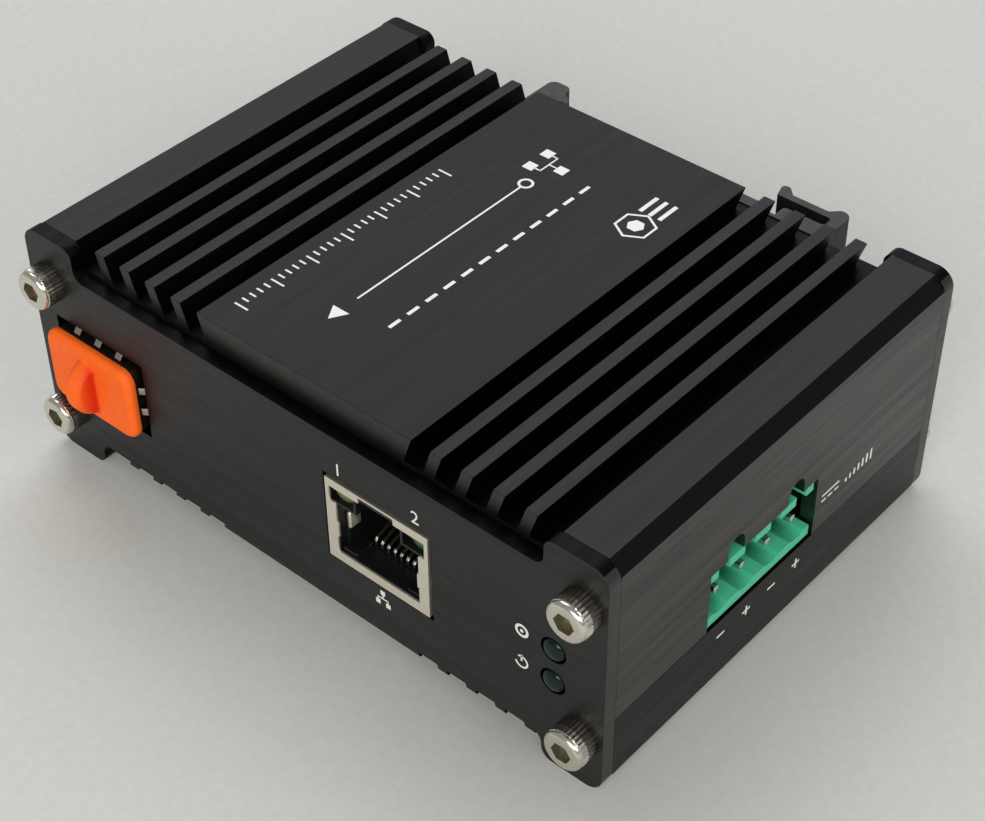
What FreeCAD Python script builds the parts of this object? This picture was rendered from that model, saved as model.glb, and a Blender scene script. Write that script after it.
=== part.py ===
"""Fibre media converter in a finned aluminium case, with a DIN rail clip.

The frame: X runs along the front plate, Y from the front plate to the rear
plate, Z up from the lower land on which the case rests.  The origin is the
centre of that land, half way between the two end plates.
All lengths are in millimetres.
"""
import FreeCAD, Part
import math
import os
import Sketcher

TOUCH = 1e-4
PLANES = {"X": ("YZ_Plane", 1), "Y": ("XZ_Plane", -1), "Z": ("XY_Plane", 1)}

LENGTHS = {
    # case, cut across its length
    "case_width": 93.4,
    "case_height": 35.4,
    "case_length": 62.6,
    "case_wall": 2.0,
    "corner_chamfer": 1.7,
    "land_half": 17.2,
    "groove_width": 2.85,
    "groove_depth": 3.7,
    "groove_lean": 1.2,
    "fin_pitch": 4.55,
    "ridge_width": 7.8,
    "boss_reach": 3.4,
    "board_rib": 1.5,
    # end plates and their screws
    "plate_thickness": 2.0,
    "plate_recess": 4.4,
    "plate_foot_recess": 3.1,
    "ear_width": 8.9,
    "ear_corner": 2.4,
    "ear_round": 1.5,
    "screw_side_inset": 3.6,
    "screw_drop": 2.7,
    "screw_radius": 1.5,
    "screw_length": 10.0,
    "screw_head_radius": 2.75,
    "screw_head_height": 2.7,
    "hexagon_width": 2.5,
    "hexagon_depth": 1.6,
    "hole_clearance": 0.2,
    "thread_fit": 0.05,
    # circuit board
    "board_drop": 6.2,
    "split_drop": 0.3,
    "board_thickness": 1.6,
    "board_side_gap": 0.35,
    "board_end_gap": 0.3,
    "lead_hole_fit": 0.1,
    # fibre module bay
    "bay_inset": 11.85,
    "bay_width": 14.0,
    "bay_height": 9.8,
    "bay_length": 47.5,
    "bay_lift": 0.7,
    "bay_sheet": 0.35,
    "bay_proud": 0.6,
    "bay_opening_gap": 1.0,
    "finger_width": 1.1,
    "finger_pitch": 3.85,
    "finger_side_pitch": 3.4,
    "finger_length": 4.6,
    "finger_sheet": 0.2,
    "finger_gap": 0.05,
    "bay_latch_width": 3.2,
    "bay_latch_inset": 3.0,
    "bay_vent_count": 4,
    "bay_vent_length": 8.0,
    "bay_vent_width": 1.6,
    "bay_vent_start": 9.0,
    "cage_leg_width": 0.9,
    "cage_leg_start": 7.35,
    "cage_leg_end": 2.15,
    "socket_width": 12.6,
    "socket_depth": 9.0,
    "socket_height": 6.0,
    "socket_wall": 1.0,
    "socket_slot": 1.2,
    "socket_slot_height": 4.2,
    "socket_gap": 0.15,
    # dust plug
    "plug_flange_width": 15.8,
    "plug_flange_height": 11.0,
    "plug_flange_thickness": 1.5,
    "plug_flange_shift": 0.45,
    "plug_flange_drop": 0.4,
    "plug_edge": 0.6,
    "plug_corner": 2.0,
    "plug_gap": 0.1,
    "plug_stem_gap": 0.25,
    "plug_stem_length": 11.0,
    "plug_stem_wall": 1.3,
    "plug_grip_width": 2.8,
    "plug_grip_height": 8.0,
    "plug_grip_reach": 3.2,
    "plug_grip_drop": 0.1,
    "plug_grip_edge": 0.6,
    # network jack
    "jack_centre": 13.1,
    "jack_width": 16.1,
    "jack_height": 12.8,
    "jack_length": 21.3,
    "jack_sheet": 0.35,
    "jack_proud": 0.2,
    "jack_opening_gap": 0.4,
    "jack_bottom_strip": 1.4,
    "jack_top_strip": 1.2,
    "jack_window_side": 0.6,
    "jack_window_height": 2.7,
    "jack_latch_width": 5.4,
    "jack_latch_way": 7.0,
    "jack_mouth_width": 12.95,
    "jack_cavity_width": 11.9,
    "jack_cavity_depth": 12.5,
    "jack_tab_reach": 0.25,
    "jack_tab_start": 3.9,
    "jack_tab_height": 2.3,
    "jack_lead_in": 1.2,
    "jack_light_radius": 1.35,
    "jack_light_inset": 1.0,
    "jack_light_length": 6.0,
    "jack_light_round": 0.6,
    "contact_count": 8,
    "contact_pitch": 1.02,
    "contact_width": 0.4,
    "contact_thickness": 0.35,
    "contact_front": 3.3,
    "contact_rise": 2.95,
    "contact_reach": 8.0,
    "contact_slope": 3.0,
    "contact_gap": 0.05,
    # status lights
    "light_inset": 7.3,
    "light_rise": 2.4,
    "light_pitch": 5.05,
    "light_radius": 1.5,
    "light_proud": 0.3,
    "light_window_gap": 0.3,
    "light_hole_gap": 0.1,
    "light_body": 3.6,
    "light_holder_width": 5.0,
    "light_holder_depth": 6.0,
    "light_holder_wall": 0.5,
    "light_holder_web": 1.4,
    "light_nose_flat": 0.8,
    "light_lead_spacing": 2.54,
    "lead_side": 0.5,
    "lead_length": 2.8,
    # power terminal
    "terminal_centre": -3.85,
    "terminal_poles": 4,
    "terminal_pitch": 5.08,
    "terminal_height": 8.6,
    "terminal_depth": 12.0,
    "terminal_inset": 0.3,
    "terminal_floor": 1.5,
    "terminal_roof": 1.3,
    "terminal_back": 2.4,
    "terminal_slot": 2.1,
    "terminal_slot_depth": 5.0,
    "terminal_scallop_radius": 3.2,
    "terminal_scallop_depth": 0.4,
    "terminal_opening_gap": 0.4,
    "terminal_notch_width": 3.1,
    "terminal_notch_rise": 2.9,
    "terminal_notch_spacing": 11.85,
    "pin_side": 1.0,
    "pin_height": 3.9,
    "pin_inset": 0.8,
    "pin_tail": 3.4,
    "pin_fit": 0.02,
    # rail clip
    "clip_left": 21.7,
    "clip_right": 28.0,
    "clip_base": 1.7,
    "clip_block": 2.7,
    "clip_block_start": 20.2,
    "clip_relief_width": 1.4,
    "clip_relief_floor": 0.6,
    "clip_slot": 1.75,
    "clip_arm": 1.15,
    "clip_arm_leg": 1.7,
    "clip_nose_rise": 1.2,
    "clip_nose_width": 1.2,
    "clip_hook_height": 6.7,
    "clip_hook_width": 3.6,
    "clip_lip": 1.2,
    "clip_lip_thickness": 0.7,
    "clip_nose_hang": 0.7,
    "clip_pocket_play": 0.1,
    "clip_round": 1.2,
    "clip_small_round": 0.6,
    "clip_socket": 2.0,
    "clip_inset": 4.2,
    "rail_half": 17.5,
    "rail_thickness": 1.0,
    "rail_play": 0.4,
    "clip_screw_spacing": 25.0,
    "clip_screw_radius": 1.5,
    "clip_screw_head": 2.8,
    "clip_screw_length": 4.2,
    # parts on the board
    "chip_side": 14.0,
    "chip_height": 1.6,
    "chip_x": -11.0,
    "chip_y": 8.0,
    "chip_pitch": 1.5,
    "chip_lead": 0.4,
    "chip_reach": 1.0,
    "lead_stand_off": 0.1,
    "magnetics_length": 15.2,
    "magnetics_width": 9.8,
    "magnetics_height": 6.4,
    "magnetics_pitch": 1.6,
    "magnetics_gap": 1.6,
    "transformer_side": 13.4,
    "transformer_height": 10.2,
    "transformer_x": 17.0,
    "transformer_y": 17.5,
    "transformer_flange": 1.5,
    "winding_radius": 4.6,
    "coil_side": 7.3,
    "coil_height": 4.5,
    "coil_corner": 1.0,
    "coil_inset": 12.7,
    "coil_y": -20.0,
    "capacitor_radius": 4.0,
    "capacitor_height": 11.5,
    "capacitor_inset": 10.7,
    "capacitor_y": 14.0,
    "capacitor_spacing": 9.6,
    "capacitor_leads": 3.5,
}


class Size:
    """A length of the sheet, or a sum, difference or share of such lengths."""

    def __init__(self, text, value):
        self.text = text
        self.value = value

    def _join(self, sign, other, value):
        return Size(f"({self.text} {sign} {text_of(other)})", value)

    def __add__(self, other):
        return self._join("+", other, self.value + value_of(other))

    def __sub__(self, other):
        return self._join("-", other, self.value - value_of(other))

    def __mul__(self, other):
        return self._join("*", other, self.value * value_of(other))

    def __truediv__(self, other):
        return self._join("/", other, self.value / value_of(other))

    def __neg__(self):
        return Size(f"(0 - {self.text})", -self.value)

    __radd__ = __add__
    __rmul__ = __mul__

    def __rsub__(self, other):
        return -self + other


def value_of(size):
    """The number that a Size or a plain number stands for."""
    return size.value if isinstance(size, Size) else float(size)


def text_of(size):
    """The expression that a Size or a plain number is written as."""
    return size.text if isinstance(size, Size) else repr(size)


def bind(item, name, size):
    """Set one property, and tie it to the sheet when it is a Size."""
    setattr(item, name, value_of(size))
    if isinstance(size, Size):
        item.setExpression(name, size.text)


doc = FreeCAD.newDocument("media_converter")
sheet = doc.addObject("Spreadsheet::Sheet", "sizes")
for row, (word, length) in enumerate(LENGTHS.items(), start=1):
    sheet.set(f"A{row}", word)
    sheet.set(f"B{row}", str(length))
    sheet.setAlias(f"B{row}", word)
doc.recompute()
SIZE = {word: Size(f"sizes.{word}", length) for word, length in LENGTHS.items()}

# Values that several pieces share.
HALF_WIDTH = SIZE["case_width"] / 2
TOP = SIZE["case_height"]
INNER = HALF_WIDTH - SIZE["case_wall"]
CASE_FRONT = -(SIZE["case_length"] / 2)
CASE_REAR = SIZE["case_length"] / 2
FRONT = CASE_FRONT - SIZE["plate_thickness"]
REAR = CASE_REAR + SIZE["plate_thickness"]
LEAN = SIZE["groove_lean"]
RIDGE_INNER = HALF_WIDTH - SIZE["ridge_width"]
SCREW_X = HALF_WIDTH - SIZE["screw_side_inset"]
BOSS_INNER = SCREW_X - SIZE["boss_reach"]
PORT_RADIUS = SIZE["screw_radius"] + SIZE["thread_fit"]
BOARD_TOP = TOP / 2 - SIZE["board_drop"]
BOARD_BOTTOM = BOARD_TOP - SIZE["board_thickness"]
SPLIT = BOARD_TOP - SIZE["split_drop"]
SCREW_HEIGHT = BOARD_BOTTOM - SIZE["screw_drop"]
BOARD_FRONT = CASE_FRONT + SIZE["board_end_gap"]
BOARD_REAR = CASE_REAR - SIZE["board_end_gap"]
SHELL_FLOOR = SIZE["groove_depth"] + SIZE["case_wall"]
CLIP_SCREWS = (-(SIZE["clip_screw_spacing"] / 2), SIZE["clip_screw_spacing"] / 2)

# The fibre module bay.
BAY_CENTRE = -(HALF_WIDTH - SIZE["bay_inset"])
BAY_LEFT = BAY_CENTRE - SIZE["bay_width"] / 2
BAY_RIGHT = BAY_CENTRE + SIZE["bay_width"] / 2
BAY_BOTTOM = BOARD_TOP + SIZE["bay_lift"]
BAY_TOP = BAY_BOTTOM + SIZE["bay_height"]
BAY_MIDDLE = BAY_BOTTOM + SIZE["bay_height"] / 2
BAY_FRONT = FRONT - SIZE["bay_proud"]
BAY_REAR = BAY_FRONT + SIZE["bay_length"]
SOCKET_FRONT = BAY_REAR - SIZE["bay_sheet"] - SIZE["socket_gap"] - SIZE["socket_depth"]
CAGE_LEG_COUNT = 5
CAGE_LEG_X = [BAY_LEFT + SIZE["bay_sheet"] / 2, BAY_RIGHT - SIZE["bay_sheet"] / 2]
CAGE_LEG_REACH = SIZE["bay_length"] - SIZE["cage_leg_start"] - SIZE["cage_leg_end"]
CAGE_LEG_PITCH = CAGE_LEG_REACH / (CAGE_LEG_COUNT - 1)
CAGE_LEG_Y = [
    BAY_FRONT + SIZE["cage_leg_start"] + step * CAGE_LEG_PITCH for step in range(CAGE_LEG_COUNT)
]

# The network jack.
JACK_LEFT = SIZE["jack_centre"] - SIZE["jack_width"] / 2
JACK_RIGHT = SIZE["jack_centre"] + SIZE["jack_width"] / 2
JACK_TOP = BOARD_TOP + SIZE["jack_height"]
JACK_FRONT = FRONT - SIZE["jack_proud"]
JACK_REAR = JACK_FRONT + SIZE["jack_length"]
JACK_FLOOR = BOARD_TOP + SIZE["jack_bottom_strip"]
JACK_LIGHT_HEIGHT = JACK_TOP - SIZE["jack_sheet"] * 2 - SIZE["jack_light_radius"]
LIGHT_REACH = SIZE["jack_width"] / 2 - SIZE["jack_sheet"] * 2 - SIZE["jack_light_radius"]
JACK_LIGHTS = (SIZE["jack_centre"] - LIGHT_REACH, SIZE["jack_centre"] + LIGHT_REACH)
LEG_TOP = JACK_FLOOR + SIZE["contact_gap"] + SIZE["contact_thickness"]
CONTACT_TAIL_Y = JACK_REAR - SIZE["contact_pitch"] * 3
FIRST_CONTACT = SIZE["jack_centre"] - (SIZE["contact_count"] - 1) * SIZE["contact_pitch"] / 2
CONTACTS = [
    FIRST_CONTACT + step * SIZE["contact_pitch"]
    for step in range(int(value_of(SIZE["contact_count"])))
]

# The power terminal.
TERMINAL_TOP = BOARD_TOP + SIZE["terminal_height"]
TERMINAL_RIM = HALF_WIDTH - SIZE["terminal_inset"]
TERMINAL_BACK = TERMINAL_RIM - SIZE["terminal_depth"]
TERMINAL_LEG_X = TERMINAL_BACK - SIZE["pin_side"]
PIN_HEIGHT = BOARD_TOP + SIZE["pin_height"]
FIRST_POLE = SIZE["terminal_centre"] - (SIZE["terminal_poles"] - 1) * SIZE["terminal_pitch"] / 2
POLES = [
    FIRST_POLE + step * SIZE["terminal_pitch"]
    for step in range(int(value_of(SIZE["terminal_poles"])))
]

# The status lights, and the leads of small parts.
LIGHT_X = HALF_WIDTH - SIZE["light_inset"]
LIGHT_LOW = BOARD_TOP + SIZE["light_rise"]
CAPACITOR_X = HALF_WIDTH - SIZE["capacitor_inset"]
LIGHT_HEIGHTS = (LIGHT_LOW, LIGHT_LOW + SIZE["light_pitch"])
LIGHT_BACK = FRONT + SIZE["light_body"]
LIGHT_LEADS = [
    (LIGHT_X + side * SIZE["light_lead_spacing"] / 2, LIGHT_BACK + row * SIZE["lead_side"] * 2)
    for row in (1, 2)
    for side in (-1, 1)
]
CAPACITOR_LEADS = [
    (
        CAPACITOR_X + side * SIZE["capacitor_leads"] / 2,
        SIZE["capacitor_y"] + row * SIZE["capacitor_spacing"],
    )
    for row in (0, 1)
    for side in (-1, 1)
]
CHIP_LEADS = 8
MAGNETICS_LEADS = 8
FIN_GROOVES = 4
X_AXIS = FreeCAD.Vector(1, 0, 0)
Y_AXIS = FreeCAD.Vector(0, 1, 0)
Z_AXIS = FreeCAD.Vector(0, 0, 1)


def new_body(label):
    """An empty body whose label names its file."""
    body = doc.addObject("PartDesign::Body", f"{label}_body")
    body.Label = label
    return body


def origin_plane(body, axis):
    """The body's own origin plane across an axis, and the sign of its normal."""
    role, sign = PLANES[axis]
    plane = next(item for item in body.Origin.OriginFeatures if item.Role == role)
    return plane, sign


def new_sketch(body, axis, offset):
    """A sketch across an axis, at a place along the plane's own normal."""
    sketch = body.newObject("Sketcher::SketchObject", f"{body.Label}_sketch")
    sketch.AttachmentSupport = [(origin_plane(body, axis)[0], "")]
    sketch.MapMode = "FlatFace"
    sketch.AttachmentOffset = FreeCAD.Placement(
        FreeCAD.Vector(0, 0, value_of(offset)), FreeCAD.Rotation()
    )
    if isinstance(offset, Size):
        sketch.setExpression("AttachmentOffset.Base.z", offset.text)
    return sketch


def fix_point(sketch, shape, point, place):
    """Hold one point of a sketch at a place measured from the origin."""
    for kind, size in zip(("DistanceX", "DistanceY"), place):
        index = sketch.addConstraint(
            Sketcher.Constraint(kind, -1, 1, shape, point, value_of(size))
        )
        if isinstance(size, Size):
            sketch.setExpression(f"Constraints[{index}]", size.text)


def draw_polygon(sketch, corners):
    """A closed outline through corners that are tied to the sheet."""
    first = sketch.GeometryCount
    places = [FreeCAD.Vector(value_of(x), value_of(y), 0) for x, y in corners]
    for start, end in zip(places, places[1:] + places[:1]):
        sketch.addGeometry(Part.LineSegment(start, end), False)
    count = len(corners)
    joints = [
        Sketcher.Constraint("Coincident", first + step, 2, first + (step + 1) % count, 1)
        for step in range(count)
    ]
    sketch.addConstraint(joints)
    for step, corner in enumerate(corners):
        fix_point(sketch, first + step, 1, corner)


def draw_circle(sketch, centre, radius):
    """A circle whose centre and radius are tied to the sheet."""
    middle = FreeCAD.Vector(value_of(centre[0]), value_of(centre[1]), 0)
    circle = Part.Circle(middle, FreeCAD.Vector(0, 0, 1), value_of(radius))
    shape = sketch.addGeometry(circle, False)
    fix_point(sketch, shape, 3, centre)
    index = sketch.addConstraint(Sketcher.Constraint("Radius", shape, value_of(radius)))
    if isinstance(radius, Size):
        sketch.setExpression(f"Constraints[{index}]", radius.text)


def rectangle(left, right, low, high):
    """The four corners of an upright rectangle."""
    return [(left, low), (right, low), (right, high), (left, high)]


def centred(middle, width):
    """The two ends of a width about its middle."""
    return middle - width / 2, middle + width / 2


def draw(sketch, polygons=(), circles=()):
    """Draw several outlines in one sketch."""
    for corners in polygons:
        draw_polygon(sketch, corners)
    for centre, radius in circles:
        draw_circle(sketch, centre, radius)
    return sketch


def pad(body, axis, start, end, polygons=(), circles=()):
    """Add material with a section across an axis, from start to end."""
    sign = origin_plane(body, axis)[1]
    sketch = draw(new_sketch(body, axis, start if sign > 0 else -end), polygons, circles)
    feature = body.newObject("PartDesign::Pad", f"{body.Label}_pad")
    feature.Profile = sketch
    bind(feature, "Length", end - start)
    return feature


def cut(body, axis, start, end, polygons=(), circles=()):
    """Take material away with a section across an axis, from start to end."""
    sign = origin_plane(body, axis)[1]
    sketch = draw(new_sketch(body, axis, end if sign > 0 else -start), polygons, circles)
    feature = body.newObject("PartDesign::Pocket", f"{body.Label}_pocket")
    feature.Profile = sketch
    bind(feature, "Length", end - start)
    return feature


def repeat(body, feature, count, pitch, way="H_Axis", back=False):
    """A row of copies of a feature along its own sketch."""
    row = body.newObject("PartDesign::LinearPattern", f"{body.Label}_row")
    row.Originals = [feature]
    row.Direction = (feature.Profile[0], [way])
    row.Reversed = back
    row.Occurrences = int(value_of(count))
    if isinstance(count, Size):
        row.setExpression("Occurrences", count.text)
    bind(row, "Length", (count - 1) * pitch)
    body.Tip = row
    return row


def edges_where(shape, test):
    """The names of the edges that pass a test."""
    return [f"Edge{n}" for n, edge in enumerate(shape.Edges, start=1) if test(edge)]


def runs_along(edge, axis):
    """Whether a straight edge lies along an axis."""
    ends = [vertex.Point for vertex in edge.Vertexes]
    if len(ends) != 2 or edge.Curve.TypeId != "Part::GeomLine":
        return False
    run = ends[1] - ends[0]
    return abs(abs(getattr(run, axis.lower())) - run.Length) < TOUCH


def soften(body, kind, radius, test):
    """Round or chamfer the edges of a body's last feature that pass a test."""
    doc.recompute()
    base = body.Tip
    feature = body.newObject(f"PartDesign::{kind}", f"{body.Label}_{kind.lower()}")
    feature.Base = (base, edges_where(base.Shape, test))
    bind(feature, "Radius" if kind == "Fillet" else "Size", radius)
    body.Tip = feature
    return feature


def at_corners(axis, corners):
    """A test for edges along an axis that stand on one of the given corners."""
    across = [name for name in "xyz" if name != axis.lower()]
    places = [[value_of(size) for size in corner] for corner in corners]

    def test(edge):
        point = edge.Vertexes[0].Point
        here = [getattr(point, name) for name in across]
        return runs_along(edge, axis) and any(
            max(abs(a - b) for a, b in zip(here, place)) < 1e-3 for place in places
        )

    return test


def mirrored(source, label, normal, base):
    """A mirror image of a whole object."""
    image = doc.addObject("Part::Mirroring", label)
    image.Source = source
    image.Normal = normal
    for name, size in base.items():
        image.Base = FreeCAD.Vector(
            *(value_of(size) if key == name else 0 for key in "xyz")
        )
        if isinstance(size, Size):
            image.setExpression(f"Base.{name}", size.text)
    return image


def grouped(label, members):
    """Separate solids of one kind, kept together as one piece."""
    group = doc.addObject("Part::Compound", f"{label}_group")
    group.Label = label
    group.Links = members
    return group


def round_edge_at(face, radius):
    """A test for the full circles of one radius on one face across the length."""
    place = value_of(face)
    size = value_of(radius)

    def test(edge):
        curve = edge.Curve
        return (
            curve.TypeId == "Part::GeomCircle"
            and abs(curve.Center.y - place) < TOUCH
            and abs(curve.Radius - size) < TOUCH
        )

    return test


def both_sides(corners):
    """A symmetric outline from its right half, listed from the centre line."""
    return list(corners) + [(-x, y) for x, y in reversed(corners)]


def case_shell(label, outline, bore_height, face, inward):
    """One extruded half of the case, with its fins cut into the outer face."""
    body = new_body(label)
    bores = [((side * SCREW_X, bore_height), PORT_RADIUS) for side in (1, -1)]
    pad(body, "Y", CASE_FRONT, CASE_REAR, [both_sides(outline)], bores)
    floor = face + inward * SIZE["groove_depth"]
    for side in (1, -1):
        start = SIZE["land_half"]
        end = start + SIZE["groove_width"]
        groove = [
            (side * start, face),
            (side * end, face),
            (side * (end - LEAN), floor),
            (side * (start - LEAN), floor),
        ]
        first = cut(body, "Y", CASE_FRONT, CASE_REAR, [groove])
        repeat(body, first, FIN_GROOVES, SIZE["fin_pitch"], back=side < 0)
        start = start + FIN_GROOVES * SIZE["fin_pitch"]
        groove = [
            (side * start, face),
            (side * RIDGE_INNER, face),
            (side * (RIDGE_INNER - LEAN), floor),
            (side * (start - LEAN), floor),
        ]
        cut(body, "Y", CASE_FRONT, CASE_REAR, [groove])
    return body


def upper_case():
    """The upper half: roof, fins, land and both walls down to the split."""
    chamfer = SIZE["corner_chamfer"]
    rib_in = INNER - SIZE["board_rib"]
    rib_low = BOARD_TOP + SIZE["hole_clearance"] / 2
    rib_high = rib_low + SIZE["board_rib"]
    roof = TOP - SHELL_FLOOR
    boss_low = TOP - SCREW_HEIGHT - SIZE["boss_reach"]
    outline = [
        (BOSS_INNER, roof),
        (BOSS_INNER, boss_low),
        (INNER, boss_low),
        (INNER, rib_high),
        (rib_in, rib_high),
        (rib_in, rib_low),
        (INNER, rib_low),
        (INNER, SPLIT),
        (HALF_WIDTH, SPLIT),
        (HALF_WIDTH, TOP - chamfer),
        (HALF_WIDTH - chamfer, TOP),
    ]
    bore = TOP - SCREW_HEIGHT
    body = case_shell("upper_case", outline, bore, TOP, -1)
    return cut_terminal_opening(body)


def cut_terminal_opening(body):
    """Cut the power socket's window, and the two round-topped notches over it."""
    span = SIZE["terminal_poles"] * SIZE["terminal_pitch"]
    left, right = centred(SIZE["terminal_centre"], span + 2 * SIZE["terminal_opening_gap"])
    top = TERMINAL_TOP + SIZE["terminal_opening_gap"]
    cut(body, "X", BOSS_INNER, HALF_WIDTH, [rectangle(left, right, SPLIT, top)])
    radius = SIZE["terminal_notch_width"] / 2
    round_height = top + SIZE["terminal_notch_rise"] - radius
    for side in (-1, 1):
        middle = SIZE["terminal_centre"] + side * SIZE["terminal_notch_spacing"] / 2
        left, right = centred(middle, SIZE["terminal_notch_width"])
        cut(body, "X", BOSS_INNER, HALF_WIDTH, [rectangle(left, right, SPLIT, round_height)])
        cut(body, "X", BOSS_INNER, HALF_WIDTH, circles=[((middle, round_height), radius)])
    return body


def lower_case():
    """The lower half: floor, fins, land and the two ledges that carry the board."""
    chamfer = SIZE["corner_chamfer"]
    outline = [
        (BOSS_INNER, SHELL_FLOOR),
        (BOSS_INNER, BOARD_BOTTOM),
        (INNER, BOARD_BOTTOM),
        (INNER, SPLIT),
        (HALF_WIDTH, SPLIT),
        (HALF_WIDTH, chamfer),
        (HALF_WIDTH - chamfer, 0),
    ]
    return case_shell("lower_case", outline, SCREW_HEIGHT, 0, 1)


def end_plate(label, start, end, openings, bores):
    """A plate with full-height ears that close the corners of the case."""
    body = new_body(label)
    ear = HALF_WIDTH - SIZE["ear_width"]
    low = SIZE["plate_foot_recess"]
    high = TOP - SIZE["plate_recess"]
    right = [(ear, low), (ear, 0), (HALF_WIDTH, 0), (HALF_WIDTH, TOP), (ear, TOP), (ear, high)]
    radius = SIZE["screw_radius"] + SIZE["hole_clearance"]
    screws = [
        ((side * SCREW_X, height), radius)
        for side in (1, -1)
        for height in (SCREW_HEIGHT, TOP - SCREW_HEIGHT)
    ]
    pad(body, "Y", start, end, [both_sides(right)] + openings, screws + bores)
    outer = [(side * HALF_WIDTH, height) for side in (1, -1) for height in (0, TOP)]
    soften(body, "Fillet", SIZE["ear_corner"], at_corners("Y", outer))
    steps = [(side * ear, height) for side in (1, -1) for height in (0, low, high, TOP)]
    soften(body, "Fillet", SIZE["ear_round"], at_corners("Y", steps))
    return body


def front_plate():
    """The plate with the jack, the fibre bay and the two status lights."""
    gap = SIZE["jack_opening_gap"]
    jack = rectangle(JACK_LEFT - gap, JACK_RIGHT + gap, BOARD_TOP - gap, JACK_TOP + gap)
    gap = SIZE["bay_opening_gap"]
    bay = rectangle(BAY_LEFT - gap, BAY_RIGHT + gap, BAY_BOTTOM - gap, BAY_TOP + gap)
    radius = SIZE["light_radius"] + SIZE["light_window_gap"]
    lights = [((LIGHT_X, height), radius) for height in LIGHT_HEIGHTS]
    return end_plate("front_plate", FRONT, CASE_FRONT, [jack, bay], lights)


def rear_plate():
    """The plain plate, tapped for the two screws of the rail clip."""
    bores = [((x, TOP / 2), SIZE["clip_screw_radius"] + SIZE["thread_fit"]) for x in CLIP_SCREWS]
    return end_plate("rear_plate", CASE_REAR, REAR, [], bores)


def hexagon(centre, across):
    """A regular hexagon from its width across flats."""
    corner = across / math.sqrt(3)
    turns = [math.radians(30 + 60 * step) for step in range(6)]
    x, y = centre
    return [(x + corner * math.cos(turn), y + corner * math.sin(turn)) for turn in turns]


def four_screws(front_label, rear_label):
    """Four cap screws through the front plate, and four through the rear plate."""
    body = new_body("case_screw")
    centre = (SCREW_X, SCREW_HEIGHT)
    head_face = FRONT - SIZE["screw_head_height"]
    pad(body, "Y", head_face, FRONT, circles=[(centre, SIZE["screw_head_radius"])])
    pad(body, "Y", FRONT, FRONT + SIZE["screw_length"], circles=[(centre, SIZE["screw_radius"])])
    socket = hexagon(centre, SIZE["hexagon_width"])
    cut(body, "Y", head_face, head_face + SIZE["hexagon_depth"], [socket])
    beside = mirrored(body, "case_screw_beside", X_AXIS, {})
    above = [
        mirrored(screw, f"case_screw_above_{number}", Z_AXIS, {"z": TOP / 2})
        for number, screw in enumerate((body, beside), start=1)
    ]
    front = grouped(front_label, [body, beside, *above])
    rear = mirrored(front, f"{rear_label}_mirror", Y_AXIS, {})
    rear.Label = rear_label
    return [front, rear]


def circuit_board():
    """The board on the two ledges, drilled for every lead that passes it."""
    body = new_body("circuit_board")
    half = INNER - SIZE["board_side_gap"]
    edge = rectangle(-half, half, BOARD_FRONT, BOARD_REAR)
    fit = SIZE["lead_hole_fit"]
    round_pin = SIZE["pin_side"] * math.sqrt(0.5) + fit
    drilled = [((TERMINAL_LEG_X, y), round_pin) for y in POLES]
    leg = (SIZE["bay_sheet"], SIZE["cage_leg_width"])
    wire = (SIZE["contact_width"], SIZE["contact_thickness"])
    lead = (SIZE["lead_side"], SIZE["lead_side"])
    slots = [((x, y), leg) for x in CAGE_LEG_X for y in CAGE_LEG_Y]
    slots += [((x, CONTACT_TAIL_Y), wire) for x in CONTACTS]
    slots += [(place, lead) for place in LIGHT_LEADS + CAPACITOR_LEADS]
    routed = [
        rectangle(*centred(x, width + 2 * fit), *centred(y, length + 2 * fit))
        for (x, y), (width, length) in slots
    ]
    pad(body, "Z", BOARD_BOTTOM, BOARD_TOP, [edge, *routed], drilled)
    return body


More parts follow.
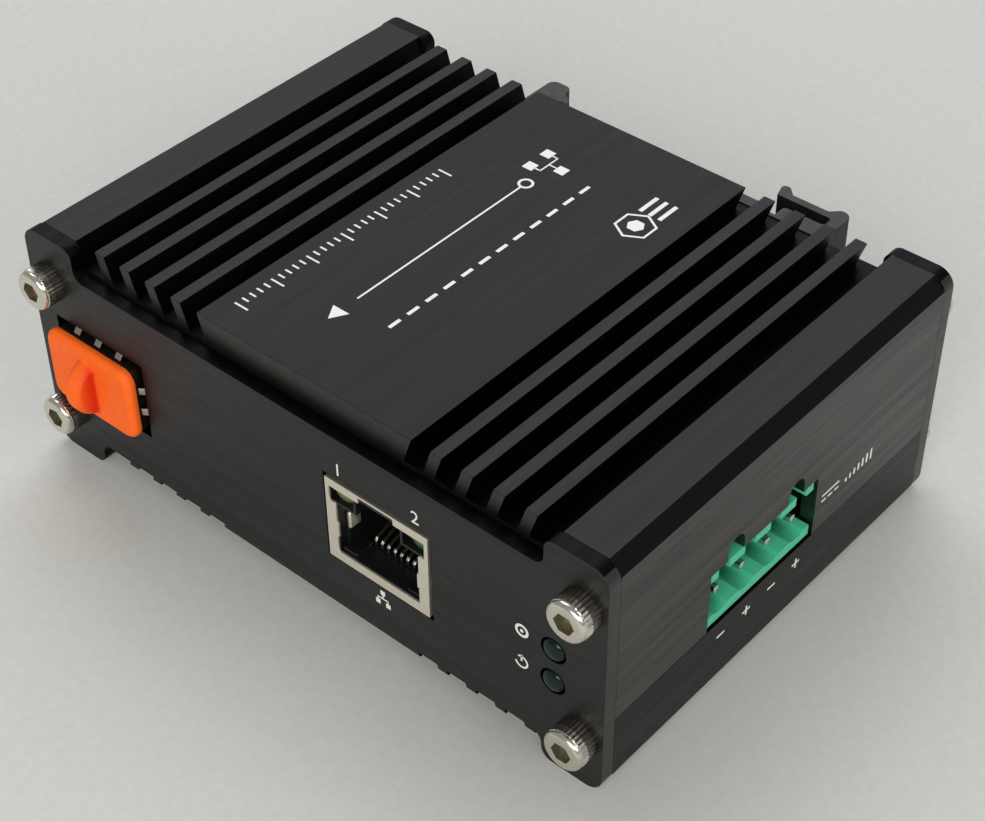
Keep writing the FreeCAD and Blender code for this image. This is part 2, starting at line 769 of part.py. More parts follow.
def sfp_cage():
    """The folded sheet bay of the fibre module, on pins through the board."""
    body = new_body("sfp_cage")
    sheet = SIZE["bay_sheet"]
    outer = rectangle(BAY_LEFT, BAY_RIGHT, BAY_BOTTOM, BAY_TOP)
    inner = rectangle(BAY_LEFT + sheet, BAY_RIGHT - sheet, BAY_BOTTOM + sheet, BAY_TOP - sheet)
    pad(body, "Y", BAY_FRONT, BAY_REAR, [outer, inner])
    pad(body, "Y", BAY_REAR - sheet, BAY_REAR, [outer])
    half = SIZE["socket_width"] / 2 + SIZE["socket_gap"]
    well = rectangle(
        BAY_CENTRE - half,
        BAY_CENTRE + half,
        SOCKET_FRONT - SIZE["socket_gap"],
        BAY_REAR - sheet,
    )
    cut(body, "Z", BAY_BOTTOM, BAY_BOTTOM + sheet, [well])
    latch = rectangle(
        *centred(BAY_CENTRE, SIZE["bay_latch_width"]),
        BAY_FRONT + SIZE["bay_latch_inset"],
        BAY_FRONT + SIZE["bay_latch_inset"] + SIZE["bay_latch_width"],
    )
    cut(body, "Z", BAY_BOTTOM, BAY_BOTTOM + sheet, [latch])
    pitch = (SIZE["bay_length"] - SIZE["bay_vent_start"] * 2) / SIZE["bay_vent_count"]
    start = BAY_FRONT + SIZE["bay_vent_start"] + pitch / 2
    vent = rectangle(
        *centred(BAY_CENTRE, SIZE["bay_vent_length"]), *centred(start, SIZE["bay_vent_width"])
    )
    first = cut(body, "Z", BAY_TOP - sheet, BAY_TOP, [vent])
    repeat(body, first, SIZE["bay_vent_count"], pitch, "V_Axis")
    for x in (BAY_LEFT + sheet / 2, BAY_RIGHT - sheet / 2):
        width = SIZE["cage_leg_width"]
        shoulder = width * 2
        left, right = x - sheet / 2, x + sheet / 2
        start = CAGE_LEG_Y[0]
        leg = rectangle(left, right, *centred(start, width))
        foot = rectangle(left, right, *centred(start, shoulder))
        first = pad(body, "Z", BOARD_TOP, BAY_BOTTOM, [foot])
        repeat(body, first, CAGE_LEG_COUNT, CAGE_LEG_PITCH, "V_Axis")
        first = pad(body, "Z", BOARD_BOTTOM, BOARD_TOP, [leg])
        repeat(body, first, CAGE_LEG_COUNT, CAGE_LEG_PITCH, "V_Axis")
    return body


def finger(face, out):
    """The side view of one bowed spring finger that lies on a face of the bay."""
    sheet = SIZE["finger_sheet"]
    front = BAY_FRONT + SIZE["bay_sheet"] / 2
    rise = SIZE["bay_opening_gap"] - SIZE["finger_gap"] - sheet
    crest = front + SIZE["finger_length"] / 8
    flat = front + SIZE["finger_length"] * 3 / 8
    back = front + SIZE["finger_length"]
    return [
        (front, face),
        (crest, face + out * rise),
        (flat, face + out * rise),
        (back, face),
        (back, face + out * sheet),
        (flat, face + out * (rise + sheet)),
        (crest, face + out * (rise + sheet)),
        (front, face + out * sheet),
    ]


def sfp_emi_springs():
    """The sprung collar round the mouth of the bay, which grounds it to the plate."""
    body = new_body("sfp_emi_springs")
    sheet = SIZE["finger_sheet"]
    back = BAY_FRONT + SIZE["bay_sheet"] / 2 + SIZE["finger_length"]
    band = [
        rectangle(BAY_LEFT - sheet, BAY_RIGHT + sheet, BAY_BOTTOM - sheet, BAY_TOP + sheet),
        rectangle(BAY_LEFT, BAY_RIGHT, BAY_BOTTOM, BAY_TOP),
    ]
    pad(body, "Y", back, back + SIZE["finger_width"], band)
    width = SIZE["finger_width"]
    for face, out in ((BAY_TOP, 1), (BAY_BOTTOM, -1)):
        for step in (-1, 0, 1):
            middle = BAY_CENTRE + step * SIZE["finger_pitch"]
            pad(body, "X", middle - width / 2, middle + width / 2, [finger(face, out)])
    for face, out in ((BAY_RIGHT, 1), (BAY_LEFT, -1)):
        outline = [(x, y) for y, x in finger(face, out)]
        for step in (-1, 1):
            middle = BAY_MIDDLE + step * SIZE["finger_side_pitch"] / 2
            pad(body, "Z", middle - width / 2, middle + width / 2, [outline])
    return body


def sfp_host_connector():
    """The card-edge socket at the back of the bay."""
    body = new_body("sfp_host_connector")
    left, right = centred(BAY_CENTRE, SIZE["socket_width"])
    block = rectangle(left, right, BOARD_TOP, BOARD_TOP + SIZE["socket_height"])
    back = SOCKET_FRONT + SIZE["socket_depth"]
    pad(body, "Y", SOCKET_FRONT, back, [block])
    slot_left, slot_right = centred(BAY_CENTRE, SIZE["socket_width"] - 2 * SIZE["socket_wall"])
    low, high = centred(BOARD_TOP + SIZE["socket_slot_height"], SIZE["socket_slot"])
    slot = rectangle(slot_left, slot_right, low, high)
    cut(body, "Y", SOCKET_FRONT, back - SIZE["socket_wall"] * 2, [slot])
    return body


def dust_plug():
    """The soft plug of the fibre bay: flange, finger grip and hollow stem."""
    body = new_body("dust_plug")
    back = BAY_FRONT - SIZE["plug_gap"]
    face = back - SIZE["plug_flange_thickness"]
    middle = BAY_MIDDLE - SIZE["plug_flange_drop"]
    left, right = centred(BAY_CENTRE - SIZE["plug_flange_shift"], SIZE["plug_flange_width"])
    low, high = centred(middle, SIZE["plug_flange_height"])
    pad(body, "Y", face, back, [rectangle(left, right, low, high)])
    corners = [(x, z) for x in (left, right) for z in (low, high)]
    soften(body, "Fillet", SIZE["plug_corner"], at_corners("Y", corners))
    rim = value_of(face) + TOUCH
    soften(body, "Chamfer", SIZE["plug_edge"], lambda edge: edge.BoundBox.YMax < rim)
    inset = SIZE["bay_sheet"] + SIZE["plug_stem_gap"]
    left, right = BAY_LEFT + inset, BAY_RIGHT - inset
    low, high = BAY_BOTTOM + inset, BAY_TOP - inset
    end = back + SIZE["plug_stem_length"]
    pad(body, "Y", back, end, [rectangle(left, right, low, high)])
    wall = SIZE["plug_stem_wall"]
    hollow = rectangle(left + wall, right - wall, low + wall, high - wall)
    cut(body, "Y", back, end, [hollow])
    grip_left, grip_right = centred(
        BAY_CENTRE - SIZE["plug_flange_shift"], SIZE["plug_grip_width"]
    )
    ends = centred(middle - SIZE["plug_grip_drop"], SIZE["plug_grip_height"])
    sketch = draw_bulge(new_sketch(body, "X", grip_left), face, ends, SIZE["plug_grip_reach"])
    grip = body.newObject("PartDesign::Pad", "dust_plug_grip")
    grip.Profile = sketch
    bind(grip, "Length", grip_right - grip_left)
    body.Tip = grip
    tip = value_of(face) - TOUCH
    sides = [value_of(grip_left), value_of(grip_right)]
    soften(
        body,
        "Chamfer",
        SIZE["plug_grip_edge"],
        lambda edge: edge.BoundBox.YMin < tip
        and edge.BoundBox.XLength < TOUCH
        and any(abs(edge.BoundBox.XMin - side) < TOUCH for side in sides),
    )
    return body


def draw_bulge(sketch, face, ends, reach):
    """A round-backed outline that stands on a face and bulges away from it by a reach."""
    low, high = ends
    half = (high - low) / 2
    radius = (half * half + reach * reach) / reach / 2
    middle = (value_of(face - reach + radius), value_of(low + half))
    first, last = (FreeCAD.Vector(value_of(face), value_of(end), 0) for end in ends)
    turn = math.asin(value_of(half) / value_of(radius))
    circle = Part.Circle(FreeCAD.Vector(*middle, 0), FreeCAD.Vector(0, 0, 1), value_of(radius))
    arc = sketch.addGeometry(Part.ArcOfCircle(circle, math.pi - turn, math.pi + turn), False)
    chord = sketch.addGeometry(Part.LineSegment(first, last), False)
    sketch.addConstraint(
        [
            Sketcher.Constraint("Coincident", arc, 2, chord, 1),
            Sketcher.Constraint("Coincident", arc, 1, chord, 2),
        ]
    )
    fix_point(sketch, chord, 1, (face, low))
    fix_point(sketch, chord, 2, (face, high))
    size = sketch.addConstraint(Sketcher.Constraint("Radius", arc, value_of(radius)))
    sketch.setExpression(f"Constraints[{size}]", text_of(radius))
    return sketch


def rj45_shield():
    """The folded sheet shield of the jack, with its stepped face frame."""
    body = new_body("rj45_shield")
    sheet = SIZE["jack_sheet"]
    outer = rectangle(JACK_LEFT, JACK_RIGHT, BOARD_TOP, JACK_TOP)
    inner = rectangle(JACK_LEFT + sheet, JACK_RIGHT - sheet, BOARD_TOP + sheet, JACK_TOP - sheet)
    pad(body, "Y", JACK_FRONT, JACK_REAR, [outer, inner])
    mouth = SIZE["jack_mouth_width"] / 2
    shelf = JACK_TOP - SIZE["jack_top_strip"] - SIZE["jack_window_height"] + sheet
    window = JACK_TOP - SIZE["jack_top_strip"]
    wide = SIZE["jack_width"] / 2 - SIZE["jack_window_side"]
    latch = SIZE["jack_latch_width"] / 2
    tab = SIZE["jack_tab_reach"]
    tab_low = BOARD_TOP + SIZE["jack_tab_start"]
    tab_high = tab_low + SIZE["jack_tab_height"]
    right = [
        (mouth, BOARD_TOP + SIZE["jack_bottom_strip"]),
        (mouth, tab_low),
        (mouth - tab, tab_low),
        (mouth - tab, tab_high),
        (mouth, tab_high),
        (mouth, shelf - tab),
        (mouth + tab, shelf),
        (wide, shelf),
        (wide, window),
        (latch, window),
        (latch, JACK_TOP - sheet),
    ]
    middle = SIZE["jack_centre"]
    opening = [(middle + x, z) for x, z in both_sides(right)]
    pad(body, "Y", JACK_FRONT, JACK_FRONT + sheet, [outer, opening])
    pad(body, "Y", JACK_REAR - sheet, JACK_REAR, [outer])
    half = SIZE["contact_pitch"] * SIZE["contact_count"] / 2
    tails = rectangle(
        middle - half,
        middle + half,
        CONTACT_TAIL_Y - SIZE["contact_pitch"],
        CONTACT_TAIL_Y + SIZE["contact_pitch"],
    )
    cut(body, "Z", BOARD_TOP, BOARD_TOP + sheet, [tails])
    return body


def rj45_insert():
    """The moulded block inside the shield, with the plug's cavity."""
    body = new_body("rj45_insert")
    sheet = SIZE["jack_sheet"]
    middle = SIZE["jack_centre"]
    block = rectangle(JACK_LEFT + sheet, JACK_RIGHT - sheet, BOARD_TOP + sheet, JACK_TOP - sheet)
    front = JACK_FRONT + sheet
    pad(body, "Y", front, JACK_REAR - sheet, [block])
    half = SIZE["jack_cavity_width"] / 2
    latch = SIZE["jack_latch_way"] / 2
    shelf = JACK_TOP - SIZE["jack_top_strip"] - SIZE["jack_window_height"]
    right = [
        (half, JACK_FLOOR),
        (half, shelf),
        (latch, shelf),
        (latch, JACK_TOP - SIZE["jack_top_strip"]),
    ]
    cavity = [(middle + x, z) for x, z in both_sides(right)]
    cavity_end = front + SIZE["jack_cavity_depth"]
    cut(body, "Y", front, cavity_end, [cavity])
    mouth = SIZE["jack_mouth_width"] / 2
    lead_in = rectangle(middle - mouth, middle + mouth, JACK_FLOOR, shelf)
    cut(body, "Y", front, front + SIZE["jack_lead_in"], [lead_in])
    comb = SIZE["contact_pitch"] * SIZE["contact_count"] / 2
    channel = rectangle(middle - comb, middle + comb, JACK_FLOOR, LEG_TOP + SIZE["contact_gap"])
    cut(body, "Y", cavity_end, CONTACT_TAIL_Y, [channel])
    shaft = rectangle(
        middle - comb,
        middle + comb,
        CONTACT_TAIL_Y - SIZE["contact_pitch"],
        CONTACT_TAIL_Y + SIZE["contact_pitch"],
    )
    cut(body, "Z", BOARD_TOP + sheet, LEG_TOP + SIZE["contact_gap"], [shaft])
    radius = SIZE["jack_light_radius"] + SIZE["lead_hole_fit"]
    depth = front + SIZE["jack_light_inset"] + SIZE["jack_light_length"]
    bores = [((x, JACK_LIGHT_HEIGHT), radius) for x in JACK_LIGHTS]
    cut(body, "Y", front, depth, circles=bores)
    window = JACK_TOP - SIZE["jack_top_strip"]
    wide = SIZE["jack_width"] / 2 - SIZE["jack_window_side"]
    for side in (-1, 1):
        ends = sorted((middle + side * (latch + sheet), middle + side * wide), key=value_of)
        recess = rectangle(*ends, shelf + sheet, window)
        cut(body, "Y", front, front + SIZE["jack_light_inset"], [recess])
    return body


def rj45_contacts():
    """Eight bent contact wires, from the cavity's ramp down through the board."""
    body = new_body("rj45_contacts")
    thick = SIZE["contact_thickness"]
    low = JACK_FLOOR + SIZE["contact_gap"]
    bend = JACK_FRONT + SIZE["contact_front"]
    crest = BOARD_TOP + SIZE["contact_rise"]
    tip_y = bend + SIZE["contact_reach"]
    tip_z = crest + SIZE["contact_slope"]
    tail = BOARD_TOP - SIZE["lead_length"]
    wire = [
        (CONTACT_TAIL_Y + thick / 2, tail),
        (CONTACT_TAIL_Y + thick / 2, LEG_TOP),
        (bend + 4 * thick, LEG_TOP),
        (bend + 3 * thick, crest - thick),
        (tip_y, tip_z - thick),
        (tip_y, tip_z),
        (bend + thick, crest),
        (bend, crest - thick),
        (bend, low + thick),
        (bend + thick, low),
        (CONTACT_TAIL_Y - thick / 2, low),
        (CONTACT_TAIL_Y - thick / 2, tail),
    ]
    half = SIZE["contact_width"] / 2
    first = pad(body, "X", CONTACTS[0] - half, CONTACTS[0] + half, [wire])
    repeat(body, first, SIZE["contact_count"], SIZE["contact_pitch"], "N_Axis")
    return body


def rj45_light(label, x):
    """One light of the jack, behind its window."""
    body = new_body(label)
    front = JACK_FRONT + SIZE["jack_sheet"] + SIZE["jack_light_inset"]
    centre = (x, JACK_LIGHT_HEIGHT)
    back = front + SIZE["jack_light_length"]
    pad(body, "Y", front, back, circles=[(centre, SIZE["jack_light_radius"])])
    rim = round_edge_at(front, SIZE["jack_light_radius"])
    soften(body, "Chamfer", SIZE["jack_light_round"], rim)
    return body


def status_light(label, height, leads):
    """A status light with a tapered nose and two bent leads."""
    body = new_body(label)
    centre = (LIGHT_X, height)
    front = FRONT - SIZE["light_proud"]
    back = front + SIZE["light_body"] + SIZE["light_proud"]
    pad(body, "Y", front, back, circles=[(centre, SIZE["light_radius"])])
    rim = round_edge_at(front, SIZE["light_radius"])
    soften(body, "Chamfer", SIZE["light_radius"] - SIZE["light_nose_flat"], rim)
    side = SIZE["lead_side"]
    for x, y in leads:
        wire = [
            (back, height + side / 2),
            (y + side / 2, height + side / 2),
            (y + side / 2, BOARD_BOTTOM),
            (y - side / 2, BOARD_BOTTOM),
            (y - side / 2, height - side / 2),
            (back, height - side / 2),
        ]
        pad(body, "X", x - side / 2, x + side / 2, [wire])
    return body


def status_light_holder():
    """The black block that holds both status lights behind the plate."""
    body = new_body("status_light_holder")
    left, right = centred(LIGHT_X, SIZE["light_holder_width"])
    top = LIGHT_HEIGHTS[1] + SIZE["light_holder_width"] / 2
    back = CASE_FRONT + SIZE["light_holder_depth"]
    pad(body, "Y", CASE_FRONT, back, [rectangle(left, right, BOARD_TOP, top)])
    fit = SIZE["light_hole_gap"]
    web = CASE_FRONT + SIZE["light_holder_web"]
    barrels = [((LIGHT_X, z), SIZE["light_radius"] + fit) for z in LIGHT_HEIGHTS]
    cut(body, "Y", CASE_FRONT, web, circles=barrels)
    wall = SIZE["light_holder_wall"]
    room = rectangle(left + wall, right - wall, BOARD_TOP, top - wall)
    cut(body, "Y", web, back, [room])
    return body


def terminal_header():
    """The open-ended socket of the power terminal, with notches over its pins."""
    body = new_body("terminal_header")
    span = SIZE["terminal_poles"] * SIZE["terminal_pitch"]
    left, right = centred(SIZE["terminal_centre"], span)
    inner_x = TERMINAL_BACK + SIZE["terminal_back"]
    floor = BOARD_TOP + SIZE["terminal_floor"]
    roof = TERMINAL_TOP - SIZE["terminal_roof"]
    section = [
        (TERMINAL_BACK, BOARD_TOP),
        (TERMINAL_RIM, BOARD_TOP),
        (TERMINAL_RIM, floor),
        (inner_x, floor),
        (inner_x, roof),
        (TERMINAL_RIM, roof),
        (TERMINAL_RIM, TERMINAL_TOP),
        (TERMINAL_BACK, TERMINAL_TOP),
    ]
    pad(body, "Y", left, right, [section])
    half = SIZE["terminal_slot"] / 2
    slot = rectangle(
        TERMINAL_RIM - SIZE["terminal_slot_depth"],
        TERMINAL_RIM,
        POLES[0] - half,
        POLES[0] + half,
    )
    first = cut(body, "Z", roof, TERMINAL_TOP, [slot])
    repeat(body, first, SIZE["terminal_poles"], SIZE["terminal_pitch"], "V_Axis")
    radius = SIZE["terminal_scallop_radius"]
    centre = (POLES[0], floor + radius - SIZE["terminal_scallop_depth"])
    first = cut(body, "X", inner_x, TERMINAL_RIM, circles=[(centre, radius)])
    repeat(body, first, SIZE["terminal_poles"], SIZE["terminal_pitch"])
    side = SIZE["pin_side"] / 2 + SIZE["pin_fit"]
    hole = rectangle(POLES[0] - side, POLES[0] + side, PIN_HEIGHT - side, PIN_HEIGHT + side)
    first = cut(body, "X", TERMINAL_BACK, inner_x, [hole])
    repeat(body, first, SIZE["terminal_poles"], SIZE["terminal_pitch"])
    return body


def terminal_pins():
    """Four square pins, bent down behind the socket and through the board."""
    body = new_body("terminal_pins")
    half = SIZE["pin_side"] / 2
    low = BOARD_TOP - SIZE["pin_tail"]
    bent = [
        (TERMINAL_LEG_X - half, low),
        (TERMINAL_LEG_X + half, low),
        (TERMINAL_LEG_X + half, PIN_HEIGHT - half),
        (TERMINAL_RIM - SIZE["pin_inset"], PIN_HEIGHT - half),
        (TERMINAL_RIM - SIZE["pin_inset"], PIN_HEIGHT + half),
        (TERMINAL_LEG_X - half, PIN_HEIGHT + half),
    ]
    first = pad(body, "Y", POLES[0] - half, POLES[0] + half, [bent])
    repeat(body, first, SIZE["terminal_poles"], SIZE["terminal_pitch"], "N_Axis", back=True)
    return body


def din_clip():
    """The moulded rail clip: fixed hook on the left, sprung arm on the right."""
    body = new_body("din_clip")
    base = REAR + SIZE["clip_base"]
    block = REAR + SIZE["clip_block"]
    arm_low = block + SIZE["clip_slot"]
    arm_top = arm_low + SIZE["clip_arm"]
    nose_top = arm_top + SIZE["clip_nose_rise"]
    right = SIZE["clip_right"]
    leg = right - SIZE["clip_arm_leg"]
    nose = SIZE["rail_half"] + SIZE["rail_play"]
    nose_tip = nose - SIZE["clip_nose_hang"]
    nose_top_end = nose_tip + SIZE["clip_nose_width"]
    relief_end = SIZE["clip_block_start"]
    relief = relief_end - SIZE["clip_relief_width"]
    relief_floor = REAR + SIZE["clip_relief_floor"]
    left = -SIZE["clip_left"]
    hook_in = left + SIZE["clip_hook_width"]
    hook_top = REAR + SIZE["clip_hook_height"]
    pocket = -(SIZE["rail_half"] + SIZE["clip_pocket_play"])
    lip = pocket + SIZE["clip_lip"]
    lip_low = base + SIZE["rail_thickness"] + SIZE["rail_play"]
    lip_top = lip_low + SIZE["clip_lip_thickness"]
    bevel = SIZE["clip_lip"] + SIZE["clip_pocket_play"]
    outline = [
        (left, REAR),
        (right, REAR),
        (right, nose_top),
        (leg, nose_top),
        (leg - SIZE["clip_nose_width"], arm_top),
        (nose_top_end + SIZE["clip_nose_width"], arm_top),
        (nose_top_end, nose_top),
        (nose_tip, nose_top),
        (nose, arm_low),
        (leg, arm_low),
        (leg, block),
        (relief_end, block),
        (relief_end, relief_floor),
        (relief, relief_floor),
        (relief, base),
        (pocket, base),
        (pocket, lip_low),
        (lip, lip_low),
        (lip, lip_top),
        (hook_in, lip_top + bevel),
        (hook_in, hook_top),
        (left, hook_top),
    ]
    low = SIZE["clip_inset"]
    high = TOP - SIZE["clip_inset"]
    pad(body, "Z", low, high, [outline])
    large = [(left, hook_top), (right, nose_top), (hook_in, hook_top)]
    soften(body, "Fillet", SIZE["clip_round"], at_corners("Z", large))
    small = [(nose_tip, nose_top), (nose_top_end, nose_top), (leg, arm_low), (leg, block)]
    small += [(leg, nose_top), (relief_end, block)]
    soften(body, "Fillet", SIZE["clip_small_round"], at_corners("Z", small))
    radius = SIZE["clip_screw_radius"] + SIZE["hole_clearance"]
    holes = [((x, TOP / 2), radius) for x in CLIP_SCREWS]
    cut(body, "Y", REAR, base, circles=holes)
    sink = SIZE["clip_screw_head"] - SIZE["clip_screw_radius"]
    soften(body, "Chamfer", sink, round_edge_at(base, radius))
    return body


def din_clip_screws():
    """Two countersunk screws through the clip into the rear plate."""
    body = new_body("din_clip_screw")
    centre = (CLIP_SCREWS[0], TOP / 2)
    face = REAR + SIZE["clip_base"] - SIZE["thread_fit"]
    cone = SIZE["clip_screw_head"] - SIZE["clip_screw_radius"]
    tip = face - SIZE["clip_screw_length"]
    pad(body, "Y", tip, face, circles=[(centre, SIZE["clip_screw_radius"])])
    head = SIZE["clip_screw_head"] - SIZE["thread_fit"]
    pad(body, "Y", face - cone, face, circles=[(centre, head)])
    soften(body, "Chamfer", cone - SIZE["thread_fit"] * 2, round_edge_at(face - cone, head))
    socket = hexagon(centre, SIZE["clip_socket"])
    cut(body, "Y", face - cone, face, [socket])
    other = mirrored(body, "din_clip_screw_other", X_AXIS, {})
    return grouped("din_clip_screws", [body, other])


def leaded_package(label, centre, sides, height, leads):
    """A moulded package with small flat leads along its sides."""
    body = new_body(label)
    x, y = centre
    length, width = sides
    count, pitch, lead, reach = leads
    rest = BOARD_TOP + SIZE["lead_stand_off"]
    outline = rectangle(*centred(x, length), *centred(y, width))
    pad(body, "Z", rest, BOARD_TOP + height, [outline])
    foot = SIZE["lead_stand_off"] * 2
    start = x - (count - 1) * pitch / 2
    for side in (-1, 1):
        edge = y + side * width / 2
        ends = sorted((edge, edge + side * reach), key=value_of)
        first = pad(
            body,
            "Z",
            BOARD_TOP,
            BOARD_TOP + foot,
            [rectangle(start - lead / 2, start + lead / 2, *ends)],
        )
        repeat(body, first, count, pitch)
    return body


def converter_chip():
    """The square converter chip, with leads on all four sides."""
    side = SIZE["chip_side"]
    centre = (SIZE["chip_x"], SIZE["chip_y"])
    leads = (CHIP_LEADS, SIZE["chip_pitch"], SIZE["chip_lead"], SIZE["chip_reach"])
    body = leaded_package("converter_chip", centre, (side, side), SIZE["chip_height"], leads)
    x, y = centre
    lead = SIZE["chip_lead"]
    start = y - (CHIP_LEADS - 1) * SIZE["chip_pitch"] / 2
    foot = SIZE["lead_stand_off"] * 2
    for way in (-1, 1):
        edge = x + way * side / 2
        ends = sorted((edge, edge + way * SIZE["chip_reach"]), key=value_of)
        tab = rectangle(*ends, start - lead / 2, start + lead / 2)
        first = pad(body, "Z", BOARD_TOP, BOARD_TOP + foot, [tab])
        repeat(body, first, CHIP_LEADS, SIZE["chip_pitch"], "V_Axis")
    return body


def magnetics_module():
    """The isolation transformer module behind the jack."""
    centre = (SIZE["jack_centre"], JACK_REAR + SIZE["magnetics_gap"] + SIZE["magnetics_width"] / 2)
    sides = (SIZE["magnetics_length"], SIZE["magnetics_width"])
    leads = (MAGNETICS_LEADS, SIZE["magnetics_pitch"], SIZE["lead_side"], SIZE["chip_reach"])
    return leaded_package("magnetics_module", centre, sides, SIZE["magnetics_height"], leads)


def power_transformer():
    """The supply's transformer: a ferrite core round a wound bobbin."""
    body = new_body("power_transformer")
    x, y, side = SIZE["transformer_x"], SIZE["transformer_y"], SIZE["transformer_side"]
    top = BOARD_TOP + SIZE["transformer_height"]
    flange = SIZE["transformer_flange"]
    spread = rectangle(*centred(x, side), *centred(y, side))
    pad(body, "Z", BOARD_TOP, BOARD_TOP + flange, [spread])
    winding = [((x, y), SIZE["winding_radius"])]
    pad(body, "Z", BOARD_TOP + flange, top - flange, circles=winding)
    core = rectangle(*centred(x, side), *centred(y, side / 2))
    pad(body, "Z", top - flange, top, [core])
    for way in (-1, 1):
        edge = x + way * side / 2
        ends = sorted((edge, edge - way * flange), key=value_of)
        pad(body, "Z", BOARD_TOP + flange, top - flange, [rectangle(*ends, *centred(y, side / 2))])
    return body


def power_inductor():
    """The supply's moulded inductor, between its two end caps."""
    body = new_body("power_inductor")
    x, y, side = HALF_WIDTH - SIZE["coil_inset"], SIZE["coil_y"], SIZE["coil_side"]
    corners = [(x + sx * side / 2, y + sy * side / 2) for sx in (-1, 1) for sy in (-1, 1)]
    top = BOARD_TOP + SIZE["coil_height"]
    pad(body, "Z", BOARD_TOP, top, [rectangle(*centred(x, side), *centred(y, side))])
    soften(body, "Fillet", SIZE["coil_corner"], at_corners("Z", corners))
    return body


def input_capacitors():
    """Two upright capacitors at the power input."""
    body = new_body("input_capacitor")
    radius = SIZE["capacitor_radius"]
    x, y = CAPACITOR_X, SIZE["capacitor_y"]
    top = BOARD_TOP + SIZE["capacitor_height"]
    pad(body, "Z", BOARD_TOP, top, circles=[((x, y), radius)])
    side = SIZE["lead_side"]
    for lead_x, lead_y in CAPACITOR_LEADS[:2]:
        tail = rectangle(*centred(lead_x, side), *centred(lead_y, side))
        pad(body, "Z", BOARD_TOP - SIZE["lead_length"], BOARD_TOP, [tail])
    other = mirrored(body, "input_capacitor_other", Y_AXIS, {"y": y + SIZE["capacitor_spacing"] / 2})
    return grouped("input_capacitors", [body, other])


def build():
    """Make every piece and return the ones that are written out."""
    return [
        upper_case(),
        lower_case(),
        front_plate(),
        rear_plate(),
        *four_screws("front_screws", "rear_screws"),
        circuit_board(),
        sfp_cage(),
        sfp_emi_springs(),
        sfp_host_connector(),
        dust_plug(),
        rj45_shield(),
        rj45_insert(),
        rj45_contacts(),
        rj45_light("rj45_left_light", JACK_LIGHTS[0]),
        rj45_light("rj45_right_light", JACK_LIGHTS[1]),
        status_light("lower_status_light", LIGHT_HEIGHTS[0], LIGHT_LEADS[:2]),
        status_light("upper_status_light", LIGHT_HEIGHTS[1], LIGHT_LEADS[2:]),
        status_light_holder(),
        terminal_header(),
        terminal_pins(),
        din_clip(),
        din_clip_screws(),
        converter_chip(),
        magnetics_module(),
        power_transformer(),
        power_inductor(),
        input_capacitors(),
    ]


def check(pieces):
    """Stop before anything is written if a feature or a shape has failed."""
    failed = [item.Label for item in doc.Objects if {"Invalid", "Error"} & set(item.State)]
    failed += [piece.Label for piece in pieces if piece.Shape.isNull() or not piece.Shape.isValid()]
    for body in doc.findObjects("PartDesign::Body"):
        before = (0.0, 0)
        for feature in body.Group:
            if not feature.isDerivedFrom("PartDesign::Feature"):
                continue
            after = (round(feature.Shape.Volume, 4), len(feature.Shape.Faces))
            if after == before:
                failed.append(f"{body.Label}: {feature.Label} changes nothing")
            before = after
    if failed:
        raise RuntimeError("failed: " + ", ".join(failed))


def write(pieces):
    """Write each piece to a file of its own name."""
    os.makedirs("parts", exist_ok=True)
    for piece in pieces:
        piece.Shape.exportStep(os.path.join("parts", f"{piece.Label}.step"))


pieces = build()
doc.recompute()
check(pieces)
write(pieces)
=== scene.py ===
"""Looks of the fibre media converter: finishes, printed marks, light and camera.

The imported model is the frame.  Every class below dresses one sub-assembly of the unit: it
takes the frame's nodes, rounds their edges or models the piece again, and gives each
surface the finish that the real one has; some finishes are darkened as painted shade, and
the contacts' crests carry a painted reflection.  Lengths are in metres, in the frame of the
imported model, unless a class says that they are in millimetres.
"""

import logging
import math
from collections.abc import Callable, Iterator, Sequence
from contextlib import contextmanager
from dataclasses import dataclass
from enum import Enum
from functools import cache

import bpy
from mathutils import Matrix, Vector


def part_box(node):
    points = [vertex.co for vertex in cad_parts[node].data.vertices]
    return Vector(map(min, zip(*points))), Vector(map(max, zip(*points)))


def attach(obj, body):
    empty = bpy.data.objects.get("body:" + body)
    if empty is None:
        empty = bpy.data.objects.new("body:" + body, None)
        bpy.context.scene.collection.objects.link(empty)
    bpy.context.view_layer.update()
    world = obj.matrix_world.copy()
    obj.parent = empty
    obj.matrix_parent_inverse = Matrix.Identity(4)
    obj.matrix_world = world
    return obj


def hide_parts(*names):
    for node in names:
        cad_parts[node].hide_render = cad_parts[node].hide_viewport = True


LOG = logging.getLogger("media_converter")
MM = 0.001
HOUSING = "housing"
PLUG = "dust_plug"
# How much of a face's normal points one way where it leans that way, and where it faces it.
LEANING, FACING = 0.2, 0.9
# The share of the broad bands in a grain, the values between which its noise lies, and the
# roughness of a clear film.
BANDS, NOISE_LOW, NOISE_HIGH, FILM = 0.55, 0.36, 0.64, 0.08
# The rounding on the edges of folded sheet.
SHEET_ROUNDING = 0.07 * MM

Piece = bpy.types.Object
Tree = bpy.types.NodeTree
Socket = bpy.types.NodeSocket

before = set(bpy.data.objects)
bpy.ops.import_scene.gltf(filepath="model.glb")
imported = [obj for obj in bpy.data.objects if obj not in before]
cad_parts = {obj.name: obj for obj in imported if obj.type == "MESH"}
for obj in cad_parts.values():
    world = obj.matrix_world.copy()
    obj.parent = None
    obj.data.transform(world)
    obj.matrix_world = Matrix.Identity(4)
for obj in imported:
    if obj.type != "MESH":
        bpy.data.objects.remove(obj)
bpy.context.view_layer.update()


@cache
def box_of(node: str) -> tuple[Vector, Vector]:
    """Look up a node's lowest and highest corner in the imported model."""
    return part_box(node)


class Lay(Enum):
    """The way in which a surface was brushed."""

    ALONG_X = (0.02, 1.0, 1.0)
    ALONG_Y = (1.0, 0.02, 1.0)
    NONE = (1.0, 1.0, 1.0)


